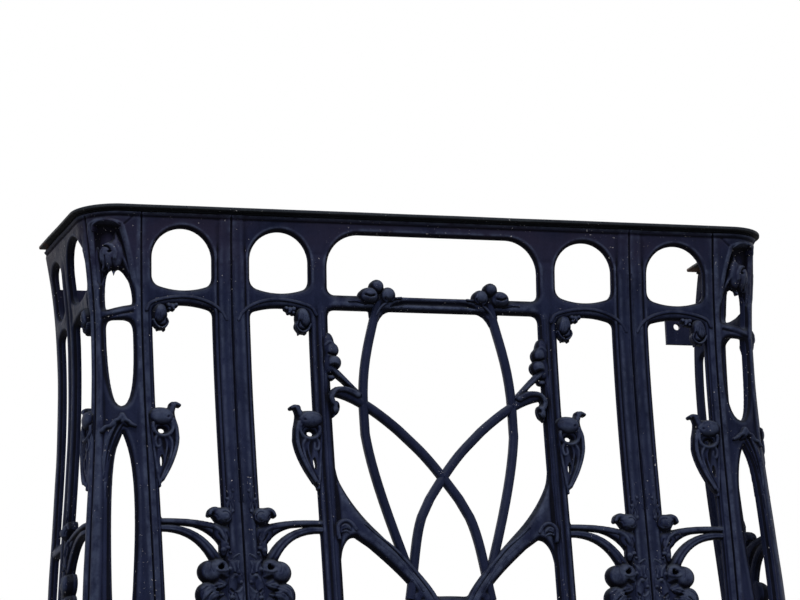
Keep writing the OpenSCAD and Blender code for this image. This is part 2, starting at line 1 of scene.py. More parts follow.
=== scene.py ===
"""The looks of a bowed cast-iron balcony front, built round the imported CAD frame.

Every piece is drawn on the unrolled face of the balcony: s runs along the front, round the corners and
back along the returns (0 is the middle of the front, left is negative), z is the height, and the third
number stands out of the face. place() bends that face onto the real one. Sizes are in millimetres.
"""

import math

import bpy
import numpy as np
from mathutils import Matrix, Vector


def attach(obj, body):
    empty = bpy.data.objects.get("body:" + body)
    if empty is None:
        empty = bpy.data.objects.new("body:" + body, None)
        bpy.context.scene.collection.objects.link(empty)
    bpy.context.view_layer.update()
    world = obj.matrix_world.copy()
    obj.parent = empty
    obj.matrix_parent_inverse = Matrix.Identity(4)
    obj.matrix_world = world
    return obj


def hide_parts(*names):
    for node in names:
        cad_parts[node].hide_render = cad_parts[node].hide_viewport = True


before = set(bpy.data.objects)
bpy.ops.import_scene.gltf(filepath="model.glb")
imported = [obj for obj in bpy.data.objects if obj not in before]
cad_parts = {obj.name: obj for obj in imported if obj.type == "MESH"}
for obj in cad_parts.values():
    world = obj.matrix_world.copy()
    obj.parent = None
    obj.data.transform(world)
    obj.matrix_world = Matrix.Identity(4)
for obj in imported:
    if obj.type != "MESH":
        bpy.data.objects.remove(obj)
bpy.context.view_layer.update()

# ---------- Sizes, the same as the source's ----------

HALF_W = 642
DEPTH = 300
FACE_Y = -178
CORNER_R = 52
FLAT_HALF = HALF_W - CORNER_R
TURN_END = FLAT_HALF + CORNER_R * math.pi / 2
SIDE_END = TURN_END + DEPTH - CORNER_R

HEIGHT = 1000
RAIL_Z = 992
RAIL_W = 46
MOULDING_Z = 975
WAIST_Z = 765
BELLY_Z = 130
BELLY_OUT = 37.5
FLARE_OUT = 17
HEAD_Z = 962
BAND_LOW = 822
BAND_HIGH = 849
FOOT_Z = 56

PLATE_T = 14
PILASTER_X = 386
PILASTER_HALF = 35
BAY_W = 113
INNER_BAY_W = 112
OUTER_POST = 534
INNER_POST = 239
MIDDLE_HALF = 204
CORNER_SEAM = 554

SAG = 12
ARCH_RISE = 10
ARM_Z = 414
FRUIT_Z = 286
POD_Z = 597

ARCH_TOP = 289
ARCH_H = 26
ARCH_R = 460
STEM_W = 16
ARM_W = 18

CORNER_END = 645
RETURN_BAY = 162
RETURN_SLOT = 214
RETURN_POST = 279
RETURN_X1 = 40

# ---------- Sizes of the looks alone ----------

CASTING_TOP = 989
CASTING_LOW = 10.3
SEAM_GAP = 0.3
# Roundness of the castings' edges: how far in it starts and how far it drops
EDGE_W = 9
EDGE_DROP = 5.5
# Grid steps of the castings, the ornaments and the finest ornaments
STEP = 2.6
FINE = 1.5
FINEST = 1.3
BAR_STEP = 4
# Cells across the squares that the flat backs are made of
BLOCK = 4
# How far back the ornaments reach, deep in the plate or just under its face, and the corners' backs
EMBEDDED = 1 - PLATE_T
THIN = -3
CORNER_BACK = -16
# Least thickness of a casting, and how far the edge of its back is drawn in
LEAST_T = 0.8
CASTING_RIM = 1.5
ORNAMENT_RIM = 0.8
SHARP_ANGLE = 72
# How far outside a shape its field still falls
REACH = 30.0
# Distances over which a casting's bump is measured, for fine and for broad forms
FINE_REACH, BROAD_REACH = 4, 11
# How far castings are taken to stand out of what is round them at seams, rims, walls and backs,
# which makes the paint darker on the seams as dark joints and on the walls and backs as painted shade, and
# lighter on the rims as rubbed paint and painted highlights
SEAM_BUMP, RIM_BUMP, WALL_BUMP, BACK_BUMP = -1.4, 0.3, -0.5, -0.35

SIDES = ((-1, "left"), (1, "right"))
# The bays on one half of the front: post, pilaster's flank, width, and the way from flank to post
BAYS = (("outer", OUTER_POST, PILASTER_X + PILASTER_HALF, BAY_W, 1),
        ("inner", INNER_POST, PILASTER_X - PILASTER_HALF, INNER_BAY_W, -1))


# ---------- The bent face ----------

def bow(z):
    """Outward offset of the face at height z."""
    flare = FLARE_OUT * ((z - WAIST_Z) / (MOULDING_Z - WAIST_Z)) ** 2
    belly = BELLY_OUT * (1 - np.cos(np.pi * (WAIST_Z - z) / (WAIST_Z - BELLY_Z))) / 2
    return np.where(z > WAIST_Z, flare, belly)


def plan(s, out):
    """Place in plan of the point s along the U, moved out of the face."""
    a, sign = np.abs(s), np.where(np.asarray(s) < 0, -1.0, 1.0)
    turn = np.clip((a - FLAT_HALF) / CORNER_R, 0, np.pi / 2)
    x = np.minimum(a, FLAT_HALF) + (CORNER_R + out) * np.sin(turn)
    y = FACE_Y + CORNER_R - (CORNER_R + out) * np.cos(turn) + np.maximum(a - TURN_END, 0)
    return sign * x, y


def place(s, z, out):
    """Points of the bent face, in metres."""
    s, z, out = np.broadcast_arrays(np.asarray(s, float), np.asarray(z, float), np.asarray(out, float))
    x, y = plan(s, bow(z) + out)
    return np.stack([x, y, z], axis=-1) / 1000


# ---------- Points and flat fields: how far inside a shape a point is, negative outside ----------

def unit(x):
    """x held between 0 and 1."""
    return np.clip(x, 0, 1)


def bell(x):
    """1 in the middle, falling smoothly to 0 at distance 1."""
    return (1 - np.clip(x, -1, 1) ** 2) ** 2


def dome(q, rise, fall):
    """A round top, highest at q = 0, that falls away straight past q = 1."""
    return np.where(q < 1, rise * np.sqrt(np.maximum(1 - q * q, 0)), (1 - q) * fall)


def pairs(*numbers):
    """Rows of points from x, z, x, z, ... or from points."""
    return np.concatenate([np.ravel(n) for n in numbers]).astype(float).reshape(-1, 2)


def joined(*parts):
    """Several runs of points as one, without repeated ends."""
    points = pairs(*parts)
    keep = np.r_[True, np.hypot(*(points[1:] - points[:-1]).T) > 0.01]
    return points[keep]


def beziers(*numbers, n=10, apart=False):
    """Cubic curves of n steps each, end to end. A curve starts where the last one ends, or apart from it
    on a point of its own, with a straight line between."""
    p = pairs(*numbers)
    starts = range(0, len(p) - 3, 4 if apart else 3)
    runs = []
    for i, count in zip(starts, np.broadcast_to(n, len(starts))):
        a, b, c, d = p[i:i + 4]
        t = np.linspace(0, 1, count + 1)[:, None]
        runs.append((1 - t) ** 3 * a + 3 * (1 - t) ** 2 * t * b + 3 * (1 - t) * t * t * c + t ** 3 * d)
    return joined(*runs)


def through(*knots, n=6):
    """A smooth line through a few knots."""
    k = pairs(*knots)
    k = np.concatenate([[2 * k[0] - k[1]], k, [2 * k[-1] - k[-2]]])
    t = np.linspace(0, 1, n, endpoint=False)[:, None]
    runs = []
    for a, b, c, d in zip(k, k[1:], k[2:], k[3:]):
        runs.append(0.5 * (2 * b + (c - a) * t + (2 * a - 5 * b + 4 * c - d) * t ** 2
                           + (3 * b - a - 3 * c + d) * t ** 3))
    return np.concatenate(runs + [k[-2:-1]])


def arc(cs, cz, r, start, end, n=12):
    t = np.radians(np.linspace(start, end, n))
    return np.stack([cs + r * np.cos(t), cz + r * np.sin(t)], axis=1)


def smax(a, b, k):
    """The greater of two fields, with a fillet of size k where they meet."""
    m = unit(0.5 + 0.5 * (a - b) / k)
    return b + (a - b) * m + k * m * (1 - m)


def fused(field, *others):
    """A field with others joined on, each given with the size of its fillet."""
    for other, k in others:
        field = smax(field, other, k)
    return field


def disc(s, z, cs, cz, r):
    return r - np.hypot(s - cs, z - cz)


def oval(s, z, cs, cz, rs, rz, turn=0):
    """Distance from the middle of an ellipse as a share of its radius."""
    c, t = math.cos(math.radians(turn)), math.sin(math.radians(turn))
    x, y = s - cs, z - cz
    return np.hypot((x * c + y * t) / rs, (y * c - x * t) / rz)


def to_segments(s, z, points, closed):
    """Distance to a run of points, and how far along it the nearest place is, from 0 to 1."""
    ends = np.roll(points, -1, axis=0) if closed else points[1:]
    best, along = np.full(s.shape, 1e6), np.zeros(s.shape)
    for i, ((ax, az), (bx, bz)) in enumerate(zip(points, ends)):
        ex, ez = bx - ax, bz - az
        t = unit(((s - ax) * ex + (z - az) * ez) / max(ex * ex + ez * ez, 1e-9))
        d = np.hypot(s - ax - t * ex, z - az - t * ez)
        along = np.where(d < best, (i + t) / len(ends), along)
        best = np.minimum(best, d)
    return best, along


def near(s, z, points, reach):
    low, high = points.min(0) - reach, points.max(0) + reach
    return (s > low[0]) & (s < high[0]) & (z > low[1]) & (z < high[1])


def quarter(x):
    """0 at 0, rising as a round edge does to 1 at 1."""
    return np.sin(np.pi / 2 * unit(x))


def polygon(s, z, points):
    """Inside of a polygon."""
    out = np.full(s.shape, -REACH)
    close = near(s, z, points, REACH)
    x, y = s[close], z[close]
    best, _ = to_segments(x, y, points, True)
    inside = np.zeros(x.shape, bool)
    for (ax, ay), (bx, by) in zip(points, np.roll(points, -1, axis=0)):
        if ay != by:
            inside ^= ((ay > y) != (by > y)) & (x < ax + (y - ay) * (bx - ax) / (by - ay))
    out[close] = np.where(inside, best, -np.minimum(best, REACH))
    return out


def stroke(s, z, points, w0, w1):
    """Inside of a line of width w0 at its start and w1 at its end, and its half width there."""
    deep, half = np.full(s.shape, -REACH), np.ones(s.shape)
    close = near(s, z, points, REACH)
    best, along = to_segments(s[close], z[close], points, False)
    half[close] = (w0 + (w1 - w0) * along) / 2
    deep[close] = np.maximum(half[close] - best, -REACH)
    return deep, half


# ---------- Meshes ----------

def make_object(name, vertices, faces, bump):
    """A smooth object. bump says how far each point stands out of what is round it."""
    mesh = bpy.data.meshes.new(name)
    mesh.from_pydata(vertices.tolist(), [], faces)
    mesh.shade_smooth()
    mesh.set_sharp_from_angle(angle=math.radians(SHARP_ANGLE))
    layer = mesh.attributes.new("bump", "FLOAT", "POINT")
    layer.data.foreach_set("value", bump.astype(np.float32))
    piece = bpy.data.objects.new(name, mesh)
    bpy.context.scene.collection.objects.link(piece)
    return piece


def blurred(values, mask, reach):
    """Mean of a grid over its neighbours, counting only what is in the mask."""
    total, count = values * mask, mask.astype(float)
    for axis in (0, 1, 0, 1):
        total = sum(np.roll(total, k, axis) for k in range(-reach, reach + 1))
        count = sum(np.roll(count, k, axis) for k in range(-reach, reach + 1))
    return total / np.maximum(count, 1e-6)


def cell_outline(case):
    """Corners 0 to 3 and cut edges 4 to 7 round a cell whose corners are in where the case has a bit."""
    ring = []
    for k in range(4):
        here, following = case >> k & 1, case >> (k + 1) % 4 & 1
        if here:
            ring.append(k)
        if here != following:
            ring.append(4 + k)
    return ring


def back_blocks(full):
    """Marks the square blocks of cells that are wholly iron."""
    nx, nz = (n // BLOCK for n in full.shape)
    return full[:nx * BLOCK, :nz * BLOCK].reshape(nx, BLOCK, nz, BLOCK).all(axis=(1, 3))


def block_ring(i, j, blocks):
    """Grid points round a block of the back, with those between its corners that a finer neighbour has."""
    x, z, size = i * BLOCK, j * BLOCK, BLOCK
    ring = []
    for k, (di, dj) in enumerate(((0, -1), (1, 0), (0, 1), (-1, 0))):
        a, b = i + di, j + dj
        coarse = 0 <= a < blocks.shape[0] and 0 <= b < blocks.shape[1] and blocks[a, b]
        for n in range(1 if coarse else size):
            ring.append([(x + n, z), (x + size, z + n), (x + size - n, z + size), (x, z + size - n)][k])
    return ring


def cast(name, span, rise, shape, step, edge=0.0, back=-PLATE_T, rim=CASTING_RIM):
    """A closed casting. shape(s, z) gives how deep in the iron a point is and how far its face stands
    out; span and rise are the limits in s and z, and edge is how far the face drops along them."""
    nx = int(math.ceil((span[1] - span[0]) / step))
    nz = int(math.ceil((rise[1] - rise[0]) / step))
    s, z = np.meshgrid(span[0] + (np.arange(nx + 3) - 1) * (span[1] - span[0]) / nx,
                       rise[0] + (np.arange(nz + 3) - 1) * (rise[1] - rise[0]) / nz, indexing="ij")

    def to_edge(a, b):
        return np.minimum(np.minimum(a - span[0], span[1] - a), np.minimum(b - rise[0], rise[1] - b))

    deep, face = shape(s, z)
    field = np.minimum(deep, to_edge(s, z))
    field = np.where(np.abs(field) < 1e-4, 1e-4, field)
    inside = field > 0

    def crossings(first, second, start):
        """Numbers and places of the points where the outline cuts the grid's lines."""
        cut = inside[first] != inside[second]
        ids = np.full(cut.shape, -1)
        ids[cut] = start + np.arange(cut.sum())
        f0, f1, s0, s1, z0, z1 = (grid[end][cut] for grid in (field, s, z) for end in (first, second))
        t = f0 / (f0 - f1)
        return ids, s0 + (s1 - s0) * t, z0 + (z1 - z0) * t

    lo, hi, every = slice(None, -1), slice(1, None), slice(None)
    n_in = int(inside.sum())
    node_ids = np.full(inside.shape, -1)
    node_ids[inside] = np.arange(n_in)
    row_ids, row_s, row_z = crossings((lo, every), (hi, every), n_in)
    col_ids, col_s, col_z = crossings((every, lo), (every, hi), n_in + len(row_s))
    cut_s, cut_z = np.r_[row_s, col_s], np.r_[row_z, col_z]
    all_s, all_z = np.r_[s[inside], cut_s], np.r_[z[inside], cut_z]
    count = len(all_s)

    top = np.r_[face[inside], shape(cut_s, cut_z)[1]]
    top = top - edge * (1 - unit(to_edge(all_s, all_z) / 2)) ** 2
    low_rim = np.full(count, rim)
    low_rim[:n_in] *= (1 - unit(field[inside] / (2 * step))) ** 2 / 2
    bottom = np.minimum(back + low_rim, top - LEAST_T)

    # the bump, each point's height over the mean round it, is darkened by the paint into grime and painted
    # shade in hollows and lightened into rubbed paint and painted highlights on crests; its broad part
    # spreads the painted shade over whole valleys and round reliefs
    heights = np.zeros(s.shape)
    heights[inside] = top[:n_in]
    fine, broad = (heights - blurred(heights, inside, max(1, round(reach / step)))
                   for reach in (FINE_REACH, BROAD_REACH))
    bump = (fine + 0.4 * broad)[inside]

    local = [node_ids[:-1, :-1], node_ids[1:, :-1], node_ids[1:, 1:], node_ids[:-1, 1:],
             row_ids[:, :-1], col_ids[1:, :], row_ids[:, 1:], col_ids[:-1, :]]
    case = inside[:-1, :-1] * 1 + inside[1:, :-1] * 2 + inside[1:, 1:] * 4 + inside[:-1, 1:] * 8
    blocks = back_blocks(case == 15)
    merged = np.zeros(case.shape, bool)
    big = np.kron(blocks, np.ones((BLOCK, BLOCK), bool))
    merged[:big.shape[0], :big.shape[1]] = big

    front, rear, rims = [], [], []
    for k in range(1, 16):
        ring, cells = cell_outline(k), case == k
        if not cells.any():
            continue
        faces = np.stack([local[c][cells] for c in ring], axis=1)
        front += faces.tolist()
        rear += faces[~merged[cells]][:, ::-1].tolist()
        for a, b in zip(ring, ring[1:] + ring[:1]):
            if a > 3 and b > 3:
                rims.append(np.stack([local[b][cells], local[a][cells]], axis=1))
    for i, j in zip(*np.nonzero(blocks)):
        rear.append([int(node_ids[p]) for p in block_ring(i, j, blocks)][::-1])

    # the back and a ring round the side walls get points of their own
    def numbered(members, start):
        ids = np.full(count, -1)
        ids[members] = start + np.arange(len(members))
        return ids

    used = np.unique(np.concatenate([np.asarray(f) for f in rear]))
    rims = np.concatenate(rims)
    rim_points = np.unique(rims)
    rear_ids, wall_ids = numbered(used, count), numbered(rim_points, count + len(used))
    b, a = rims.T
    walls = np.concatenate([np.stack([b, a, wall_ids[a], wall_ids[b]], axis=1),
                            np.stack([wall_ids[b], wall_ids[a], rear_ids[a], rear_ids[b]], axis=1)])
    wall_out = top[rim_points] - np.minimum(2.5, 0.4 * (top - bottom)[rim_points])

    vertices = np.concatenate([place(all_s, all_z, top), place(all_s[used], all_z[used], bottom[used]),
                               place(all_s[rim_points], all_z[rim_points], wall_out)])
    # seams are marked low for dark joints, side walls and backs low for painted shade, and rims high for
    # rubbed paint and painted highlights
    bumps = np.r_[bump, np.where(to_edge(cut_s, cut_z) < 0.6, SEAM_BUMP, RIM_BUMP),
                  np.full(len(used), BACK_BUMP), np.full(len(rim_points), WALL_BUMP)]
    return make_object(name, vertices, front + [rear_ids[f].tolist() for f in rear] + walls.tolist(), bumps)


def sweep(name, rows, bumps=0.0):
    """A closed skin over rows of equal length, each a ring of points in metres. bumps says how far each
    point of a ring stands out of what is round it."""
    rows = np.asarray(rows)
    n, m = rows.shape[:2]
    faces = [[i * m + j, i * m + (j + 1) % m, (i + 1) * m + (j + 1) % m, (i + 1) * m + j]
             for i in range(n - 1) for j in range(m)]
    faces.append(list(range(m))[::-1])
    faces.append([(n - 1) * m + j for j in range(m)])
    return make_object(name, rows.reshape(-1, 3), faces, np.tile(np.broadcast_to(bumps, m), n))


def merge(name, parts):
    """Several pieces as one object."""
    bpy.ops.object.select_all(action="DESELECT")
    for p in parts:
        p.select_set(True)
    bpy.context.view_layer.objects.active = parts[0]
    bpy.ops.object.join()
    parts[0].name = name
    parts[0].data.name = name
    return parts[0]


# ---------- Ornaments as heights over a patch of the face ----------

class Relief:
    """An ornament: deep is how far inside its outline a point is, and out how high it stands. A line is an
    array of points, or a tuple x, z, x, z, ... of knots that a smooth line goes through."""

    def __init__(self, s, z):
        self.all_s, self.all_z = s, z
        self.deep = np.full(s.shape, -REACH)
        self.out = np.full(s.shape, -20.0)
        self.start(0, 0)

    def start(self, x, z):
        """Sets the place that the next forms are measured from."""
        self.s, self.z = self.all_s - x, self.all_z - z

    def line(self, points, w0, w1):
        return stroke(self.s, self.z, points if isinstance(points, np.ndarray) else through(points), w0, w1)

    def join(self, deep, out, k):
        self.deep = smax(self.deep, deep, k)
        self.out = smax(self.out, out, k)

    def ball(self, cs, cz, rs, rz, rise, base=-5, turn=0, k=2):
        q = oval(self.s, self.z, cs, cz, rs, rz, turn)
        self.join((1 - q) * min(rs, rz), base + dome(q, rise, 40), k)

    def rib(self, points, w0, w1, rise, base=-5, k=2):
        deep, half = self.line(points, w0, w1)
        self.join(deep, base + dome(1 - deep / half, rise, 8), k)

    def plate(self, points, crown, base=-5, soft=12):
        deep = polygon(self.s, self.z, points)
        self.join(deep, base + np.where(deep > 0, crown * quarter(deep / soft), deep * 2), 2)

    def leaf(self, knots, w, rise, teeth=4):
        """A pointed leaf laid on what is there, toothed and veined."""
        points = through(knots)
        dist, along = np.full(self.s.shape, 1e3), np.zeros(self.s.shape)
        close = near(self.s, self.z, points, w)
        dist[close], along[close] = to_segments(self.s[close], self.z[close], points, False)
        tooth = 1 - 0.22 * np.abs(np.sin(np.pi * teeth * along))
        half = np.maximum(w / 2 * np.sin(np.pi * np.clip(along, 0.03, 0.985) ** 0.8) ** 0.75 * tooth, 0.3)
        q = dist / half
        blade = np.sqrt(unit(1 - q * q)) * (0.8 + 0.2 * q)
        vein = 0.45 * bell(unit(dist / 2.6)) * (1 - 0.5 * along)
        ribs = 0.2 * np.sin(2 * np.pi * (teeth * along - 0.45 * unit(q))) * unit(q * 2)
        self.out = self.out + rise * np.where(q < 1, blade * (1 + ribs) - vein, 0)

    def fold(self, points, w, amount, w1=None):
        """Raises, or with a negative amount carves, a soft line into what is there."""
        deep, half = self.line(points, w, w if w1 is None else w1)
        self.out = self.out + amount * bell(unit(1 - deep / half))

    def dent(self, cs, cz, rs, rz, depth, turn=0, hard=1.0):
        q = oval(self.s, self.z, cs, cz, rs, rz, turn)
        self.out = self.out - depth * unit(bell(unit(q)) * hard)

    def pierce(self, cs, cz, rs, rz, turn=0):
        q = oval(self.s, self.z, cs, cz, rs, rz, turn)
        self.deep = np.minimum(self.deep, (q - 1) * min(rs, rz))


# ---------- Bays ----------

def arc_radius(w, rise):
    return (w * w / 4 + rise * rise) / (2 * rise)


def upper_hole(u, z, w):
    """Outside of a bay's upper opening: a round head over straight sides and a sagging sill."""
    r, sill = w / 2, arc_radius(w, SAG)
    head = np.where(z > HEAD_Z - r, np.hypot(u - r, z - HEAD_Z + r) - r, np.abs(u - r) - r)
    return smax(head, np.hypot(u - r, z - BAND_HIGH - sill) - sill, 14)


def lower_hole(u, z, w):
    """Outside of the long opening under the crossband."""
    r, big = w / 2, arc_radius(w, ARCH_RISE)
    sides = np.abs(u - r) - r
    arch = np.where(z > BAND_LOW - big, np.hypot(u - r, z - BAND_LOW + big) - big, -big)
    return smax(smax(sides, arch, 10), FOOT_Z - z, 34)


def gusset():
    """Outline of the iron between the arm and the pilaster, over the slot; heights over the arm."""
    return joined(beziers(60, 4, 20, 6, 10, 2, -2, 0), (-2, -62), beziers(1, -62, 4, -34, 20, -13, 60, 0))


def arm_lines(w):
    """Middle lines of the arm's upper bar and of the lower one, which bends down to the fruit; heights
    over the arm."""
    upper = beziers(w + 3, 6.5, 60, 7.5, 22, 1, -2, -10)
    lower = beziers(w + 3, -6, 66, -3, 34, -26, 15, FRUIT_Z + 62 - ARM_Z)
    return upper, lower


def pod_outline():
    """Outline of a hanging seed pod from its post's edge, 0, outward; heights over its middle."""
    return joined((-12, 26, 0, 32, 16, 34),
                  beziers(22, 33, 27, 42, 33, 44, 37, 43, 36, 31, 33, 26, 37, 13, 40, 0,
                          42, -22, 40, -48, 24, -82, 0, -112, n=(4, 5, 8), apart=True), (-12, -100))


# Fruits: from the pilaster's flank, over the middle one, size
FRUITS = ((30, 42, 21.5), (36, 0, 21), (27, -41, 19.5))


def bay_iron(u, z, w):
    """Depth in the iron over a bay, from its pilaster at u = 0 to its post at u = w."""
    v, arm_z, pod_z, fruit_z = w - u, z - ARM_Z, z - POD_Z, z - FRUIT_Z
    upper, lower = arm_lines(w)
    iron = fused(np.minimum(upper_hole(u, z, w), lower_hole(u, z, w)),
                 (polygon(u, arm_z, gusset()), 8), (stroke(u, arm_z, upper, 8, 8)[0], 7),
                 (stroke(u, arm_z, lower, 8, 14)[0], 5), (polygon(v, pod_z, pod_outline()) - 1.5, 6),
                 *((disc(u, fruit_z, out, up, r - 2), 5) for out, up, r in FRUITS),
                 (np.minimum(23 - u, 40 - np.abs(fruit_z - 5)), 4), (disc(u, arm_z, 5, 18, 10), 6),
                 (disc(v, z - BAND_LOW, 13, -26, 13), 6))
    # the pod is cut through in its mouth and beside its tail
    mouth = oval(v, pod_z, 9, -9, 6, 4.5)
    tail = oval(v, pod_z, 5, -66, 3.6, 12, -4)
    return np.minimum(iron, np.minimum((mouth - 1) * 5, (tail - 1) * 4))


def in_bays(a, field):
    """field(u, w) over the two bays on one half of the front, by distance a from the middle."""
    outer, inner = (field(way * (a - flank), w) for _, _, flank, w, way in BAYS)
    return np.where(a > PILASTER_X, outer, inner)


# ---------- Middle panel ----------

# Berries on the crossband: from the middle, over the band's upper edge, width and height
BERRIES = ((110, 17, 13.5, 13.5), (127, -1, 18.5, 16), (89.5, 1, 15, 15.5))
# Lobes on the jamb: from the middle, over the crossband's lower edge, width and height
JAMB_LOBES = ((199, -76, 12.5, 14), (196.5, -100, 14, 14))


def mid(*shares):
    """Places in the middle panel by shares of its half width and of its height over the arch."""
    return pairs(*shares) * (MIDDLE_HALF, BAND_LOW - ARCH_TOP) + (0, ARCH_TOP)


def low(*shares):
    """Places under the arch, by distance from the middle and by share of the height there."""
    return pairs(*shares) * (1, ARCH_TOP - ARCH_H - FOOT_Z) + (0, FOOT_Z)


def brace():
    return joined(beziers(mid(1.01, 0.43, 0.94, 0.355, 0.82, 0.285, 0.63, 0.215,
                              0.49, 0.16, 0.29, 0.077, 0.15, 0.002, 0.08, -0.05), apart=True),
                  mid(0.08, -0.08, -0.01, -0.12, 0.12, -0.1),
                  beziers(mid(0.29, -0.008, 0.44, 0.068, 0.59, 0.118, 0.735, 0.167,
                              0.86, 0.2, 0.93, 0.2, 0.96, 0.178, 1.01, 0.133), apart=True))


def trunk():
    return joined((-1, FOOT_Z - 1), low(-1, 1),
                  beziers(low(26, 1, 22, 0.7, 16, 0.45, 16, 0.36, 16, 0.21, 26, 0.12, 46, 0.07),
                          70, FOOT_Z - 1, apart=True))


def stem_flare():
    """Iron in the angle between a stem and the crossband."""
    return pairs(110, 797, 104, 808, 97, 816, 86, 822.5, 86, 830, 124, 830, 124, 815, 121, 797)


def band_hollow():
    """The long hollow in the crossband between the stems, pointed at its end."""
    return joined(beziers(88, 829, 80, 838, 68, 843, 52, 844), (-20, 844, -20, 832),
                  beziers(52, 832, 66, 831, 78, 829, 88, 829, n=5))


def arch_band(a, z):
    over = ARCH_R - np.hypot(a, z - ARCH_TOP + ARCH_R)
    under = np.hypot(a, z - ARCH_TOP + ARCH_H + ARCH_R) - ARCH_R
    return np.minimum(over, under)


def middle_head(a, z):
    """Outside of the wide opening over the crossband."""
    def half(r, cz, up):
        cs = MIDDLE_HALF - r
        flat = np.maximum(a - MIDDLE_HALF, up * (z - cz) - r)
        return np.where((a > cs) & (up * (z - cz) > 0), np.hypot(a - cs, z - cz) - r, flat)
    return np.maximum(half(62, HEAD_Z - 62, 1), half(14, BAND_HIGH + 14, -1))


def middle_iron(a, z):
    field = fused(a - MIDDLE_HALF, (z - BAND_LOW, 16), (FOOT_Z - z, 34),
                  (np.where(a < MIDDLE_HALF + 20, arch_band(a, z), -REACH), 8), (polygon(a, z, brace()), 8),
                  (polygon(a, z, trunk()), 10), (polygon(a, z, stem_flare()), 3),
                  (disc(a, z, 64, 287, 13), 4),
                  *((disc(a, z, x, BAND_LOW + up, rs - 2), 5) for x, up, rs, _ in JAMB_LOBES))
    over = fused(middle_head(a, z), *((disc(a, z, x, BAND_HIGH + up, rs - 3), 5) for x, up, rs, _ in BERRIES))
    return np.minimum(field, over)


# ---------- Corners and returns ----------

def corner_openings():
    """The corner's three openings, by distance along the face from the middle and by height: a low one
    with two lobes at its top, a long one under the crossband, and a pointed one down to the foot."""
    lobed = beziers(628, 822, 629, 860, 619, 884, 611.5, 885, 607.5, 883, 606, 878, 605, 871,
                    603.5, 879, 600, 885, 594, 885, 581, 882, 570, 858, 569, 832,
                    568.5, 821, 570, 820.5, 578, 819, 596, 816, 606, 813, 617, 811.5,
                    624, 810.5, 628, 814, 628, 822, n=(10, 5, 5, 10, 5, 5, 5))
    middle = joined(beziers(629, 770, 629, 788, 624, 792, 612, 792.5, n=6),
                    beziers(586, 792.5, 573, 791, 569, 786, 568.5, 768, 568, 710, 570, 634, 597, 632,
                            616, 634, 628, 700, 629, 770, n=(6, 10, 10)))
    pointed = beziers(595.5, 583, 588, 566, 579, 540, 579, 470, 579, 380, 593, 300, 596, 200,
                      597, 150, 598, 110, 602, 84, 610, 110, 617, 190, 618, 300,
                      619.5, 420, 621, 520, 608, 556, 603, 568, 599, 575, 595.5, 583,
                      n=(10, 10, 5, 6, 10, 5))
    return lobed, middle, pointed


def corner_iron(a, z):
    return np.minimum.reduce([-polygon(a, z, hole) for hole in corner_openings()])


def return_depth(s):
    """Distance behind the front's face of a place on a return."""
    return np.abs(s) - TURN_END + CORNER_R


def return_iron(d, z):
    bay = bay_iron(RETURN_BAY - d, z, RETURN_BAY - RETURN_X1)
    w = RETURN_POST - RETURN_SLOT
    slot = np.minimum(upper_hole(d - RETURN_SLOT, z, w), lower_hole(d - RETURN_SLOT, z, w))
    bar = np.minimum(z - ARM_Z + 12, ARM_Z + 10 - z)
    slot = smax(slot, np.where((d > RETURN_SLOT - 1) & (d < RETURN_POST + 1), bar, -REACH), 8)
    return np.where(d < (RETURN_BAY + RETURN_SLOT) / 2, bay, slot)


# ---------- The castings' own face ----------

def bevel(deep):
    return -EDGE_DROP * (1 - quarter(deep / EDGE_W))


def between(z, z0, z1, soft=14):
    """1 between two heights, fading to 0 past them."""
    return unit((z - z0) / soft + 1) * unit((z1 - z) / soft + 1)


def waves(s, z):
    """Slight unevenness of a hand-made casting."""
    return 0.35 * np.sin(s / 23 + 1.7 * np.sin(z / 61)) * np.sin(z / 37 + 0.8 * np.sin(s / 29))


def bay_face(u, z, w, deep):
    """Face over a bay: rounded edges and a lip round the head of the upper opening."""
    out = bevel(deep)
    head = upper_hole(u, z, w)
    lip = 1.8 * bell((head - 5.5) / 4) * between(z, BAND_HIGH + 26, HEAD_Z + 20)
    edge = 1.0 * bell((head - 3.5) / 3.5) * between(z, BAND_HIGH - 20, BAND_HIGH + 10, 20)
    return out + lip + edge


def front_face(a, z, deep):
    out = in_bays(a, lambda u, w: bay_face(u, z, w, deep))
    head = middle_head(a, z)
    lip = 1.6 * bell((head - 5.5) / 4) * between(z, BAND_HIGH + 30, HEAD_Z + 20)
    out = out + np.where(a < MIDDLE_HALF + 14, lip, 0)
    # each half of a pilaster swells between the seam and a bead along its flank
    beside = np.abs(a - PILASTER_X)
    out = out - 1.5 * unit((z - HEAD_Z + 50) / 12) * unit((beside - 19) / 5)
    swell = 1.7 * (1 - np.clip((beside - 12) / 14, -1, 1) ** 4) + 0.5 * bell((beside - 20) / 4)
    bead = 1.5 * bell((beside - 30.5) / 4.5) - 1.3 * bell((beside - 26) / 3.2)
    out = out + (swell + bead) * between(z, FOOT_Z, HEAD_Z - 60, 40)
    # the inner posts have a ridge and a valley, the outer ones a bead along their bay
    low_half = between(z, FOOT_Z, BAND_LOW - 20, 30)
    out = out + (1.8 * bell((a - 214.5) / 6.5) - 2.2 * bell((a - 226.5) / 7)) * low_half
    out = out + (1.2 * bell((a - 537) / 3.5) - 1.5 * bell((a - 541) / 3)) * low_half
    return out + waves(a, z)


def top_strip(z):
    """A groove under the castings' upper edge, which stands out a little over it."""
    return 1.6 * unit((z - 982.5) / 2.6) - 1.8 * bell((z - 981) / 4)


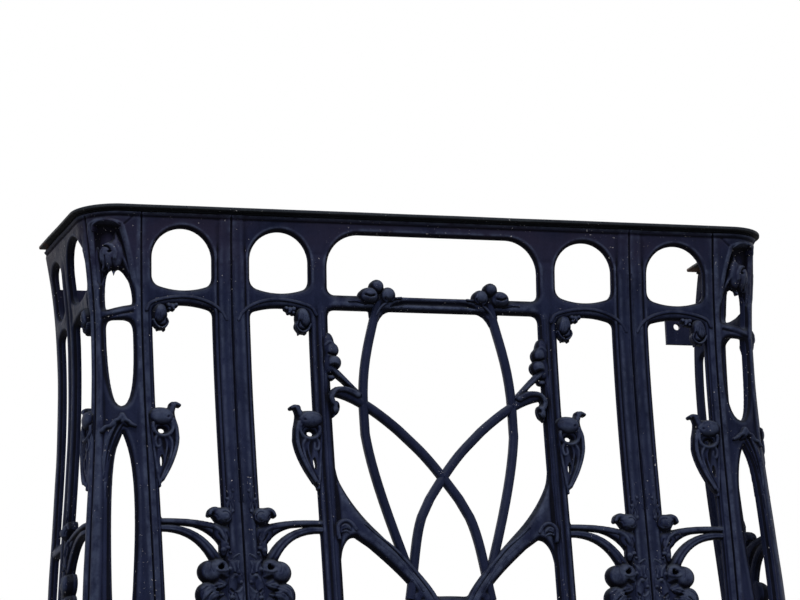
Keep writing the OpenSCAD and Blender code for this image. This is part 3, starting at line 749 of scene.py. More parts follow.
def middle_shape(s, z):
    a = np.abs(s)
    bays = in_bays(a, lambda u, w: bay_iron(u, z, w))
    deep = np.where(a < MIDDLE_HALF + 18, middle_iron(a, z), bays)
    out = front_face(a, z, deep)
    out = out - 5 * unit(polygon(a, z, band_hollow()) / 3) ** 0.7
    out = out + 1.6 * bell((z - BAND_HIGH + 3) / 3.5) * unit((90 - a) / 20)
    # the crossband's face leans back toward its top beside the berries
    beside = unit((a - 120) / 16) * unit((MIDDLE_HALF - a) / 16)
    out = out + 4 * bell((z - BAND_LOW - 5) / 18) * beside
    # its underside falls away, and the braces are rounded across
    out = out - 2.5 * bell((z - BAND_LOW) / 7) * unit((MIDDLE_HALF - 4 - a) / 10)
    swell = quarter(polygon(a, z, brace()) / 15) * unit((MIDDLE_HALF + 6 - a) / 30)
    out = out + 4.5 * swell
    return deep, out + top_strip(z)


def bay_shape(s, z):
    a = np.abs(s)
    deep = in_bays(a, lambda u, w: bay_iron(u, z, w))
    return deep, front_face(a, z, deep) + top_strip(z)


def niche_outline():
    """The recess over the lobed opening, with a sharp corner toward the front."""
    return joined(beziers(637, 862, 639, 900, 641, 958, 633, 966, 624, 970, 606, 968, 594, 961,
                          584, 930, 575, 900, 571, 858, n=(10, 6, 10)),
                  beziers(571, 846, 573, 862, 590, 880, 605, 880, 621, 878, 627, 866, 630, 846, n=(10, 6)))


def corner_shape(s, z):
    a = np.abs(s)
    deep = corner_iron(a, z)
    out = bevel(deep) + waves(a, z)
    niche = polygon(a, z, niche_outline())
    depth = 11 + 3 * unit((z - 925) / 30)
    lip = 1.0 + 1.8 * unit((z - 940) / 20)
    fade = unit((z - 848) / 16)
    out = out - fade * (depth * unit(niche / 4.5) ** 0.7 - lip * bell((niche + 4.5) / 4.5))
    # rounded ridge beside the openings, running up into the niche
    line = joined((636, FOOT_Z + 10), through(636, 500, 636, 840, 634, 875, 631, 905))
    ridge, half = stroke(a, z, line, 15.5, 8)
    out = out + 3.6 * np.sqrt(unit(1 - (1 - ridge / half) ** 2)) * between(z, 90, 862, 40)
    # creases over the long opening and at the niche's corner
    for knots, w, cut in (((627, 796, 600, 801, 571, 807), 8, 2.6),
                          ((595, 962, 586, 966, 571, 979), 6, 1.3)):
        crease, half = stroke(a, z, through(knots), w, w)
        out = out - cut * bell(unit(1 - crease / half))
    seam_roll = bell((a - 561) / 7) * between(z, FOOT_Z, 940, 40)
    return deep, out + 1.4 * seam_roll + top_strip(z)


def return_shape(s, z):
    d = return_depth(s)
    deep = return_iron(d, z)
    out = bay_face(RETURN_BAY - d, z, RETURN_BAY - RETURN_X1, deep)
    beside = np.abs(d - (RETURN_BAY + RETURN_SLOT) / 2)
    out = out + 2.4 * bell((beside - 13) / 8) * between(z, FOOT_Z, 900, 40)
    near_corner = unit(1 - ((np.abs(s) - 652.5) / 7.5) ** 2)
    return deep, out + 3.4 * np.sqrt(near_corner) * between(z, 90, 920, 40) + waves(d, z) + top_strip(z)


# ---------- Ornaments. x runs from the edge that each grows from, out over the opening ----------

def pod(r):
    """A seed pod with a domed cap, a hooked stalk, an open mouth and ribs down to its tail."""
    r.start(0, POD_Z)
    r.plate(pod_outline(), 9, base=-5.5, soft=15)
    r.dent(14, -45, 9, 30, 3, turn=12)
    r.rib((30, 10, 35, -6, 34, -34, 22, -70, 6, -100), 9, 6, 7, base=0)
    r.rib((20, -20, 26, -34, 20, -62, 8, -88, 1, -104), 7, 5, 6, base=-0.5)
    r.rib((12, -21, 16, -34, 14, -52, 9, -70), 6, 3, 5, base=-1)
    r.rib((0, -16, -5, -28, -2, -40, 4, -37, 3, -28), 7, 4, 5.5, base=-0.5)
    r.rib((-12, 12, -9, -30, -5, -70, 0, -112), 8, 5, 4, base=-1)
    r.ball(9, -8, 17, 13, 0.5, base=-6)
    r.dent(10, -6, 17, 13, 9, hard=2.5)
    r.rib(arc(10.5, -2, 18.5, 165, 385, 20), 6.5, 6.5, 7.5, base=0)
    r.ball(8, 17, 24, 16.5, 13, base=-1.5, turn=-4)
    r.fold((-8, 26, 4, 29, 18, 27, 27, 18), 7, 1.4)
    r.dent(20, 15, 5, 3.5, 2.5, turn=30)
    r.rib((24, 22, 29, 32, 35, 40, 43, 38), 15, 7, 9, base=-3)
    r.ball(31, 38, 6.5, 6.5, 10, base=-3)
    r.dent(31, 39, 2.5, 2.5, 2.5)
    r.pierce(9, -9, 6, 4.5)
    r.pierce(5, -66, 3.6, 12, -4)


def bud(r):
    """A rolled bud under the crossband's end, fluted, with a curled foot and small lobes beside it."""
    r.start(0, BAND_LOW)
    r.ball(13, -20, 14.5, 21, 16, turn=-6)
    r.ball(17, -33, 10.5, 10, 13)
    for x, lean, w in ((4, -3, 4.5), (9, -1.5, 4), (14, 0.5, 4.5), (19, 2, 4), (24, 3, 4)):
        r.fold((x * 0.5 + 8, -2, x - lean, -14, x + lean * 0.6, -30), w, 1.8)
    r.fold((1, -30, 8, -36, 16, -33, 20, -25), 5, -3.4)
    r.rib((0, -31, 5, -40, 13, -45, 22, -42, 27, -34, 25, -27), 5.5, 3.5, 7, base=0)
    r.rib((11, -42, 9, -47), 6, 3.5, 6, base=-3)
    r.rib((20, -42, 21, -48), 5.5, 3, 6, base=-3)
    for x, z, size in ((30, -2, 5.5), (37, -3.5, 6.5), (44, -1, 4.5), (31, -9, 4), (39, -8.5, 3.2)):
        r.ball(x, z, size, size, 8)


def fruit_branch(w):
    """The arm's two bars, the leaf curl over them, and the three fruits hung from the lower bar."""
    def draw(r):
        r.start(0, ARM_Z)
        upper, lower = arm_lines(w)
        r.rib(lower, 11.5, 22, 8, base=-6)
        r.rib(upper, 11.5, 16, 8.5, base=-6)
        r.fold(lower, 3.5, -1.6, 8)
        # folds of the gusset, down the pilaster's flank
        r.ball(4, -14, 17, 20, 6, base=-2.5, turn=-30, k=4)
        r.ball(0, -34, 9, 24, 6, base=-2.5, turn=8, k=4)
        r.fold((20, -2, 6, -12, 1, -26, -6, -36), 6, 2.2, 4)
        r.fold((10, -16, 5, -24, -1, -30), 5, -2.4)
        r.fold((-4, -14, -7, -24, -4, -34), 4, -1.6)
        for x, z, size in ((3, -46, 6), (-5, -42, 5.5), (-9, -51, 3.5)):
            r.ball(x, z, size, size * 0.85, 7, base=-1.5)
        fruits(r)
        curl(r)
    return draw


def curl(r):
    """A rolled leaf tip on the pilaster's flank, hooked like a bird's beak."""
    r.start(0, ARM_Z + 19)
    r.rib((-4, 6, -11, 18, -8, 30, -12, 42), 9, 3, 3.6, base=-0.5)
    r.ball(0, -3, 17, 17, 17, base=-3, k=3)
    r.ball(9, 1, 12, 11, 13, base=-3, k=4)
    r.rib((6, 6, 15, 9, 22, 6.5, 25.5, 0), 15, 8, 12, base=-4, k=4)
    r.fold(arc(-2, -4, 8.5, 60, 285), 4.5, -2.6, 3)
    r.fold(arc(-2, -4, 3.6, 90, 240), 3.5, 1.4)
    r.fold((19, 1, 13, -2, 10, -8), 4, -2.4)
    r.fold((-14, -12, -2, -17, 9, -13), 5, -2.6)


def fruits(r):
    """Three swollen fruits, the first open at its calyx and the others wrapped in leaves."""
    r.start(0, FRUIT_Z)
    r.ball(12, -29, 20, 36, 9, k=3)
    r.ball(10, 36, 19, 26, 11, k=3)
    r.ball(15, 20, 14, 13, 10, base=-4, k=3)
    for (x, up, size), tall, rise in zip(FRUITS, (1.0, 1.12, 1.06), (20, 19, 18)):
        r.ball(x, up, size, size * tall, rise, base=-6, k=3)
    first, second, third = (FRUIT_Z + up for _, up, _ in FRUITS)
    # the first: a cleft from the stalk, a dark calyx under a brow, a lip under it, creases round the sides
    r.start(0, first)
    r.ball(13, 6, 19, 17, 12, base=-1, k=5)
    r.dent(11.5, 7, 6.5, 4.6, 12, turn=12, hard=2.6)
    r.dent(8.5, 9.5, 4.4, 6.2, 10, turn=-20, hard=2.4)
    r.fold((20, 2, 13, -0.5, 4, 0.5, -3, 3), 6, 2.4)
    r.fold((2, 17, 12, 16.5, 19, 11), 6, 1.8)
    r.fold((11, -10, 5, -13, -3, -16), 12, -5, 16)
    r.fold((27, 20, 30, 8, 27, -2), 4, -1.6)
    r.fold((36, 15, 42, 3, 38, -12), 8, 1.3, 5)
    # the others: leaves folded over them
    r.start(0, second)
    r.leaf((6, 17, 22, 14, 38, 5, 48, -12), 16, 4.5)
    r.leaf((4, 3, 18, 2, 31, -5, 40, -18), 15, 4.5)
    r.leaf((26, 21, 42, 17, 53, 6), 10, 2.8, teeth=3)
    r.dent(20, 8, 4.5, 3.5, 6, turn=-20, hard=1.5)
    r.dent(17, -7, 4.5, 3, 5, turn=-20, hard=1.5)
    r.start(0, third)
    r.leaf((4, 14, 20, 11, 32, 2, 38, -12), 16, 4)
    r.leaf((2, -1, 15, -3, 26, -10, 30, -19), 13, 3.6)
    r.fold((12, -14, 20, -20, 26, -21), 5, 1.6)


def band_berries(r):
    """Three berries where a stem meets the crossband, one with a slit eye, and the stem's ridge, which runs
    on as the band's upper rim."""
    above, slit, inner = BERRIES
    r.start(0, BAND_HIGH)
    r.rib((120, -58, 117, -46, 111, -33), 8, 12, 8.5, base=-6.5, k=3)
    r.rib((113.5, -36, 105, -23, 92, -12.5, 78, -5.5, 64, -3), 6, 6.5, 8.5, base=-3.5, k=4)
    r.ball(107, -8, 20, 13, 8, base=-4, k=4)
    r.ball(*above, 16, base=-4)
    r.dent(114, 26, 5, 3.5, 2)
    r.ball(*inner, 18, base=-3, k=1)
    r.fold(arc(89.5, 0, 9.5, 190, 320, 10), 5, -3.5)
    r.dent(86.5, -13, 7, 4, 7, hard=1.6)
    r.ball(*slit, 20, base=-3, k=1)
    r.fold((119, -2, 127, -4, 135, -1), 6, -5)
    r.fold(arc(127, -2, 12, 20, 160, 9), 6, 1.8)
    r.rib((135, -14, 149, -11, 165, -12), 13, 4, 6, base=-1)


def jamb_ornament(r):
    """Lobes climbing the jamb, the scroll where the crossing arm starts, and the brace's rolled end."""
    r.ball(206, 752, 12, 26, 8, base=-2, k=4)
    r.ball(206, 722, 13, 22, 8, base=-2, k=4)
    for (x, up, rs, rz), rise in zip(JAMB_LOBES, (15, 17)):
        r.ball(x, BAND_LOW + up, rs, rz, rise, base=-4, turn=-20, k=3)
    r.fold((196, 757, 205, 760, 213, 754), 6, 2)
    r.fold((186, 737, 196, 735, 208, 738), 4.5, -3.5)
    r.dent(199, 714, 10, 4.5, 9, turn=8, hard=1.7)
    r.rib((204, 714, 197, 707, 188, 698, 176, 687, 152, 662), 12, 9, 9.5, base=-4)
    r.ball(203, 694, 8, 5, 6, base=-3, k=3)
    # the scroll and the drop under it
    r.start(197, 655)
    r.rib((-41, 6, -25, 14, -11, 16, 1, 13, 8, 3, 6, -8, 2, -13), 15, 11, 12, base=-2, k=3)
    r.fold((-37, 12, -17, 19, -2, 15, 7, 3), 5, 2)
    r.fold((-31, 2, -15, 8, -3, 5), 5, -4)
    r.ball(1, -18, 8, 14, 14, base=-3, turn=10, k=3)
    r.dent(-3, -17, 4, 6, 6, hard=1.4)
    r.rib((2, -24, 5, -34), 7, 3, 7, base=-2)
    # the rolled end of the brace: a hood over a crumpled fold
    r.start(193, 412)
    r.ball(1, -1, 17, 17, 9, base=-3, k=4)
    r.rib((14, -20, 16, -8, 15, 4, 7, 12, -3, 13, -12, 7, -18, -3), 7, 9, 7, base=0, k=4)
    r.fold((9, 2, 2, 5, -6, -1), 4.5, 2.5)
    r.fold((8, -5, 0, -3, -8, -8), 4, -3)
    r.dent(3, -13, 10, 6, 7, hard=1.5)
    # the ridge down the jamb
    r.start(0, 0)
    r.rib((214.5, FOOT_Z + 4, 214.5, BAND_LOW - 8), 8, 8, 2.2, base=0.4)


def crossband_roll(w):
    """The arched roll over a lower opening, which runs out on the pilaster and turns down there."""
    def draw(r):
        r.start(0, BAND_LOW)
        r.rib((-24, -26, -14, -10, 4, 3, w * 0.27, 12, w * 0.5, 14, w * 0.76, 11, w + 2, 2, w + 12, -12),
              8, 8, 4.2, base=-1)
    return draw


def pilaster_leaves(r):
    """Crumpled leaves that climb a pilaster either side of its seam, with plain swellings over them."""
    seam = r.s = np.abs(r.s)
    r.rib((3.6, 458, 3.6, 905), 4.4, 4.4, 1.8, base=1)
    r.rib((3.6, FOOT_Z + 6, 3.6, 226), 4.4, 4.4, 1.8, base=1)
    r.rib((31, 424, 25, 436, 27, 450, 22, 462, 24, 474), 9, 3, 3.6, base=0)
    r.rib((22, 432, 16, 446, 19, 458, 15, 470, 17, 482), 8, 3, 3.4, base=0)
    for x, z in ((17, 440), (26, 462), (15, 478)):
        r.ball(x, z, 3.6, 3.6, 4.5, base=0.5)
    # soft crumpled leaves, one over the other, under a small curved lip
    for z, tall in ((338, 34), (296, 40), (250, 34)):
        r.ball(19, z, 17, tall, 4.4, base=-2.2, k=5)
    for x, z, rs, rz, turn in ((22, 338, 10, 16, 20), (12, 318, 8, 15, -15), (25, 306, 9, 20, 12),
                               (13, 282, 9, 20, 16), (24, 262, 10, 18, -12), (14, 244, 9, 16, 10)):
        r.ball(x, z, rs, rz, 4.2, base=-0.2, turn=turn, k=2.5)
    r.fold((21, 354, 14, 359, 8, 361, 6, 356), 5, 3.4)
    r.fold((19, 349, 12, 354), 4.5, -2.6)
    r.fold((30, 350, 22, 340, 20, 326, 27, 312), 5, 1.8)
    r.fold((11, 348, 13, 336, 8, 322), 4.5, 1.6)
    r.fold((6, 331, 12, 323, 21, 326), 5, -2.4)
    r.fold((29, 296, 21, 288, 13, 270, 9, 258), 6, -3)
    r.fold((6, 302, 14, 292, 24, 290, 30, 280), 5, 2)
    r.fold((8, 252, 16, 242, 26, 246), 5, -2.4)
    r.fold((28, 268, 20, 258, 22, 240, 28, 230), 5, 1.8)
    for x, z, size in ((29, 333, 4.6), (18, 321, 4.6), (9, 309, 3.6), (27, 281, 4.6), (15, 254, 4.6),
                       (26, 238, 4)):
        r.ball(x, z, size, size * 0.85, size + 2.5, base=0.5)
    r.out = np.where(seam < 2.6, np.minimum(r.out, 0.6), r.out)
    r.deep = np.minimum(r.deep, np.minimum(PILASTER_HALF - 0.6 - seam, seam - 0.9))


def brace_rolls(r):
    """Two rolls that start on the braces and run down them side by side, and the rolled edge of the arch."""
    r.rib((158, 419, 140, 403, 112, 381, 92, 361, 64, 328, 41, 297, 26, 268), 4, 12, 6.5, base=-0.5)
    r.rib((146, 394, 126, 378, 102, 358, 78, 330, 55, 298), 4, 11, 5.5, base=-0.5)
    deep = arch_band(r.s, r.z) - 4
    r.join(np.where(r.s < MIDDLE_HALF - 6, deep, -REACH), dome(1 - deep / 9, 5.5, 8) - 2, 3)
    r.rib((6, FOOT_Z + 8, 7, 140, 10, 220, 18, 262), 10, 10, 5, base=-2)


def corner_bud(r):
    """The curled bud in the corner's niche, the smooth petal beside it and the ledge over it."""
    r.plate(joined(beziers(599, 953, 586, 930, 575, 900, 570, 868, n=8), (569, 852),
                   beziers(573, 864, 579, 884, 591, 898, 603, 902, 606, 912, 608, 928, 606, 942, 599, 953,
                           n=6, apart=True)), 10, base=-10.5)
    r.ball(634, 884, 7, 44, 7, base=-10, k=3)
    # a plump bulb that runs into the petal, with a slit and a dark eye at its top and two points below
    r.ball(612, 909, 16, 25, 14, base=-8.5, turn=6, k=4)
    r.ball(600, 911, 13, 27, 11, base=-8, k=5)
    r.fold((624, 900, 626, 915, 618, 928, 607, 926, 601, 914, 602, 902), 7, 2.4)
    r.fold((625, 921, 620, 926, 613, 924, 609, 919), 4.5, -5)
    r.dent(609.5, 915, 4.2, 3.4, 6, turn=-30, hard=1.5)
    r.rib((618, 902, 621, 891, 624, 882), 10, 3, 8, base=-8)
    r.rib((611, 900, 612, 891, 613, 883), 9, 3, 8, base=-8)
    r.fold((617, 908, 617, 898, 618, 888), 3.5, -3)
    r.fold((606, 902, 606, 894, 604, 886), 4, -2)
    for ledge in ((622, 972.5, 632, 966, 634, 955), (614, 973, 602, 969, 593, 961)):
        r.rib(ledge, 7.5, 3, 5, base=-1.2)


def corner_points(r):
    """A crumpled leaf edge, like a small gable, over the pointed opening, and its fold down one side."""
    gable = through(629, 586, 622, 593, 615, 594, 608, 603, 602, 606, 597, 615, 592, 605, 587, 602,
                    582, 597, 575, 594, n=4)
    r.plate(joined(gable, beziers(575, 594, 584, 590, 590, 588, 595.5, 593, 604, 580, 611, 562, 621, 524,
                                  n=(5, 6)), (625, 470, 632, 530)), 6, base=-1, soft=8)
    r.rib(gable, 9, 7.5, 7.5, base=1.5)
    r.fold((599, 603, 609, 584, 619, 552, 626, 500), 8, -5, 4)
    r.fold((607, 597, 618, 572, 628, 535), 5, 2.2, 3)
    r.fold((590, 598, 585, 592, 580, 590), 4, -2.5, 3)
    r.ball(597, 606, 6.5, 8, 8, base=0)
    r.rib(pairs(624.5, 490, 624.5, 300, 623, 150), 6, 4, 2.6, base=-0.6)


def return_ornament(r):
    """The return's pod, bud, arm and fruits, with x measured behind the front's face."""
    from_post, from_slot = r.s - RETURN_X1, RETURN_BAY - r.s
    branch = fruit_branch(RETURN_BAY - RETURN_X1)
    for draw, across in ((pod, from_post), (bud, from_post), (branch, from_slot)):
        part = Relief(across, r.z)
        draw(part)
        r.join(part.deep, part.out, 1)


# ---------- Bars of the middle panel ----------

def bar_section(w):
    """Half-round front on a flat back, as (across, out) pairs."""
    t = np.linspace(0, np.pi, 12)
    front = np.stack([-np.cos(t) * w / 2, -5 + 9 * np.sin(t) ** 0.8], axis=1)
    wide, narrow, side, back = w / 2 * 0.97, w / 2 * 0.8, 2 - PLATE_T, 0.5 - PLATE_T
    return joined(front, (wide, side, narrow, back, -narrow, back, -wide, side))


def resampled(points, step):
    gaps = np.hypot(*(points[1:] - points[:-1]).T)
    at = np.r_[0, np.cumsum(gaps)]
    want = np.linspace(0, at[-1], max(3, int(at[-1] / step)))
    return np.stack([np.interp(want, at, points[:, k]) for k in (0, 1)], axis=1)


def bar(name, points, w0, w1, side=1, sink=0):
    """A bar swept along a line of the face, which sinks toward its end."""
    points = resampled(points, BAR_STEP) * [side, 1]
    run = np.gradient(points, axis=0)
    run /= np.hypot(*run.T)[:, None]
    rows = []
    for i, ((x, z), (run_x, run_z)) in enumerate(zip(points, run)):
        across, out = bar_section(w0 + (w1 - w0) * i / (len(points) - 1)).T
        out = out - sink * max(0, 5 * i / len(points) - 4)
        rows.append(place(x + run_z * across, z - run_x * across, out))
    return sweep(name, rows)


def tracery():
    """The two bent stems, the two crossing arms and the strands over their ends."""
    stem = beziers(mid(0.53, 1.03, 0.59, 0.92, 0.7, 0.827, 0.701, 0.66,
                       0.7, 0.565, 0.672, 0.47, 0.6, 0.34, 0.35, 0.05), apart=True)
    arm = beziers(mid(0.97, 0.712, 0.78, 0.7, 0.564, 0.64, 0.387, 0.58,
                      0.245, 0.527, 0.118, 0.48, 0, 0.416, -0.137, 0.34,
                      -0.225, 0.276, -0.304, 0.2, -0.324, 0.1, -0.382, -0.013), apart=True)
    strand = beziers(mid(0.97, 0.79, 0.93, 0.78, 0.84, 0.74, 0.73, 0.7))
    parts = []
    for side, _ in SIDES:
        parts.append(bar("stem", stem, STEM_W, STEM_W, side))
        parts.append(bar("arm", arm, ARM_W, ARM_W - 2, side, 3.5))
        parts.append(bar("strand", strand, 10, 9, side))
    return merge("tracery_bars", parts)


# ---------- Rails ----------

def rail(name, section, wobble=0.0, bumps=0.0):
    """A bar of one section, as (out, z) pairs, run round the whole U."""
    half = np.unique(np.r_[np.linspace(0, FLAT_HALF, 60), np.linspace(FLAT_HALF, TURN_END, 24),
                           np.linspace(TURN_END, SIDE_END, 26)])
    rows = []
    for s in np.r_[-half[::-1], half[1:]]:
        out = section[:, 0] + wobble * math.sin(s / 41) * math.sin(s / 97 + 1)
        x, y = plan(np.full(len(section), s), out)
        z = section[:, 1] + 0.5 * wobble * (math.sin(s / 53 + 2) * math.sin(s / 131) - 1)
        rows.append(np.stack([x, y, z], axis=1) / 1000)
    return sweep(name, rows, bumps)


def rounded_box(x0, x1, z0, z1, r):
    """A rectangle with round corners, as a section for rail()."""
    corners = ((x1 - r, z0 + r, -90), (x1 - r, z1 - r, 0), (x0 + r, z1 - r, 90), (x0 + r, z0 + r, 180))
    return np.concatenate([arc(x, z, r, start, start + 90, 4) for x, z, start in corners])


def moulding_section():
    """The low fillet on which the handrail lies, set back under the bar; its points are marked low, so that
    the paint darkens it as painted shadow under the bar.
    """
    back, face, foot, top = FLARE_OUT - PLATE_T, FLARE_OUT - 1, CASTING_TOP + 0.3, RAIL_Z + 0.9
    section = pairs(back, foot, face, foot, face + 1, foot + 1.6, face, top, back, top)
    # marked low, for painted shadow under the bar
    return section, np.array([-1, -1.4, -0.6, -2, -1])


# ---------- Materials ----------

class Nodes:
    """Small helper for wiring a material or a world."""

    def __init__(self, owner):
        owner.use_nodes = True
        self.tree = owner.node_tree
        self.tree.nodes.clear()

    def add(self, kind, inputs=None, **settings):
        node = self.tree.nodes.new(kind)
        for key, value in settings.items():
            setattr(node, key, value)
        for key, value in (inputs or {}).items():
            if isinstance(value, bpy.types.NodeSocket):
                self.tree.links.new(value, node.inputs[key])
            else:
                node.inputs[key].default_value = value
        return node

    def split(self, vector):
        return self.add("ShaderNodeSeparateXYZ", {0: vector}).outputs

    def noise(self, where, scale, detail=4, roughness=0.55):
        return self.add("ShaderNodeTexNoise", {"Vector": where, "Scale": scale, "Detail": detail,
                                               "Roughness": roughness}).outputs["Fac"]

    def range(self, value, low, high, out_low=0.0, out_high=1.0):
        return self.add("ShaderNodeMapRange", {"Value": value, "From Min": low, "From Max": high,
                                               "To Min": out_low, "To Max": out_high}).outputs["Result"]

    def math(self, operation, a, b):
        return self.add("ShaderNodeMath", {0: a, 1: b}, operation=operation).outputs[0]

    def times(self, a, b):
        return self.math("MULTIPLY", a, b)

    def plus(self, a, b):
        return self.math("ADD", a, b)

    def most(self, a, b):
        return self.math("MAXIMUM", a, b)

    def mix(self, share, a, b):
        return self.add("ShaderNodeMix", {0: share, 6: a, 7: b}, data_type="RGBA").outputs[2]


# colour of dust, and of painted light from the sky, on what faces up
DUST_AND_SKY_LIGHT = (0.050, 0.058, 0.078, 1)
CHIP = (0.46, 0.44, 0.45, 1)
RUST = (0.046, 0.024, 0.016, 1)


def painted_iron(name, paint, worn, grime_and_shade, rub_and_highlight, chips, rust=False):
    """Old thick paint on cast iron: uneven in colour and gloss, grime and painted shade in the hollows, on
    walls and backs and under what faces down, dust and painted light from above on ledges, rubbed edges with
    painted highlights, small pale chips, and a lumpy skin."""
    mat = bpy.data.materials.new(name)
    n = Nodes(mat)
    where = n.add("ShaderNodeTexCoord").outputs["Object"]
    bump = n.add("ShaderNodeAttribute", attribute_name="bump").outputs["Fac"]
    facing_up = n.split(n.add("ShaderNodeNewGeometry").outputs["Normal"])[2]
    _, depth, height = n.split(where)
    along = n.add("ShaderNodeMapping", {"Vector": where, "Scale": (1, 1, 0.28)}).outputs[0]

    broad = n.noise(where, 7, 5)
    patches = n.noise(where, 46, 6, 0.62)
    streaks = n.noise(along, 90, 4, 0.6)
    tone = n.plus(n.times(n.range(broad, 0.36, 0.66), 0.55), n.times(n.range(streaks, 0.34, 0.7), 0.45))
    colour = n.mix(tone, (*paint, 1), (*worn, 1))
    if not rust:
        # the castings are warmer and browner toward the top
        warm = n.times(n.range(height, 0.84, 0.96), n.range(broad, 0.34, 0.56))
        colour = n.mix(n.times(warm, 0.8), colour, (worn[0] * 1.1, worn[1] * 0.7, worn[2] * 0.6, 1))
    # grime and painted shade in the hollows, on the side walls and on the backs
    hollow = n.times(n.range(bump, -0.1, -1.3), 0.85)
    colour = n.mix(hollow, colour, (*grime_and_shade, 1))
    # rubbed paint and painted highlights on what stands out
    edge = n.times(n.range(bump, 0.3, 1.6), n.range(patches, 0.34, 0.62))
    colour = n.mix(n.times(edge, 0.65), colour, (*rub_and_highlight, 1))
    # painted shade on what faces down
    under = n.range(facing_up, -0.25, -0.8, 0.0, 0.85)
    colour = n.mix(under, colour, (*grime_and_shade, 1))
    # dust and painted light from above on what faces up
    dust_and_top_light = n.times(n.range(facing_up, 0.12, 0.7), n.range(patches, 0.34, 0.6))
    colour = n.mix(n.times(dust_and_top_light, 0.5), colour, DUST_AND_SKY_LIGHT)
    # chips and specks, in loose groups
    groups = n.range(n.noise(where, 8, 3), 0.49, 0.58)
    chip = n.times(n.range(n.noise(where, 230, 4, 0.6), chips, chips + 0.02), groups)
    colour = n.mix(chip, colour, CHIP)
    if rust:
        # rust spreads from the wall ends
        far = n.range(depth, 0.03, 0.12)
        stain = n.range(n.plus(patches, n.times(far, 0.3)), 0.66, 0.76)
        colour = n.mix(n.times(stain, far), colour, RUST)

    # the grime and painted shade of hollows and undersides, the dust and painted top light of ledges, and the
    # unworn paint of the backs are matt
    matt = n.most(n.range(bump, 0.0, -0.33), n.most(dust_and_top_light, n.most(hollow, under)))
    rough = n.plus(n.range(patches, 0.3, 0.72, 0.36, 0.6), n.times(matt, 0.4))
    lumps, grain = n.noise(where, 150), n.noise(where, 520, 3)
    relief = n.plus(n.plus(n.times(lumps, 0.6), n.times(grain, 0.16)), n.times(streaks, 0.5))
    relief = n.math("SUBTRACT", relief, n.times(chip, 0.5))
    skin = n.add("ShaderNodeBump", {"Height": relief, "Distance": 0.0022, "Strength": 0.6}).outputs[0]
    shader = n.add("ShaderNodeBsdfPrincipled", {"Base Color": colour, "Roughness": rough, "Normal": skin,
                                                "IOR": 1.45, "Specular IOR Level": 0.05})
    n.add("ShaderNodeOutputMaterial", {"Surface": shader.outputs["BSDF"]})
    return mat


# ---------- Build ----------

iron_paint = painted_iron("casting_paint_look", paint=(0.0030, 0.0047, 0.0155), worn=(0.0110, 0.0145, 0.0375),
                          grime_and_shade=(0.0015, 0.0015, 0.0025), rub_and_highlight=(0.044, 0.055, 0.095), chips=0.685)
rail_paint = painted_iron("rail_paint_look", paint=(0.009, 0.0108, 0.0150), worn=(0.022, 0.0255, 0.031),
                          grime_and_shade=(0.0008, 0.0008, 0.0010), rub_and_highlight=(0.075, 0.083, 0.088), chips=0.69, rust=True)


def add(piece, nodes, material=iron_paint):
    piece.data.materials.clear()
    piece.data.materials.append(material)
    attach(piece, "root")
    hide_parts(*nodes)


def castings():
    ends, seam = (CASTING_LOW, CASTING_TOP), SEAM_GAP / 2
    add(cast("middle_panel", (seam - PILASTER_X, PILASTER_X - seam), ends, middle_shape, STEP, 4),
        ["middle_casting"])
    for side, word in SIDES:
        for part, a, b, shape, step, edge, back in (
                ("bay", PILASTER_X + seam, CORNER_SEAM, bay_shape, STEP, 4, -PLATE_T),
                ("corner", CORNER_SEAM + SEAM_GAP, CORNER_END - seam, corner_shape, 2.0, 6, CORNER_BACK),
                ("return", CORNER_END + seam, SIDE_END, return_shape, STEP, 3, -PLATE_T)):
            add(cast(f"{word}_{part}_panel", sorted((side * a, side * b)), ends, shape, step, edge, back),
                [f"{word}_{part}_casting"])


def ornament(name, side, origin, way, span, rise, draw, step=FINE, back=EMBEDDED):
    """A piece of relief. draw(relief) and span measure along the face from where the ornament grows, which
    is the origin's distance from the middle: away from the middle if way is 1, and toward it if -1."""
    def shape(s, z):
        relief = Relief(way * (np.abs(s) - origin), z)
        draw(relief)
        return relief.deep, relief.out
    ends = sorted(side * (origin + way * x) for x in span)
    return cast(name, ends, rise, shape, step, back=back, rim=ORNAMENT_RIM)


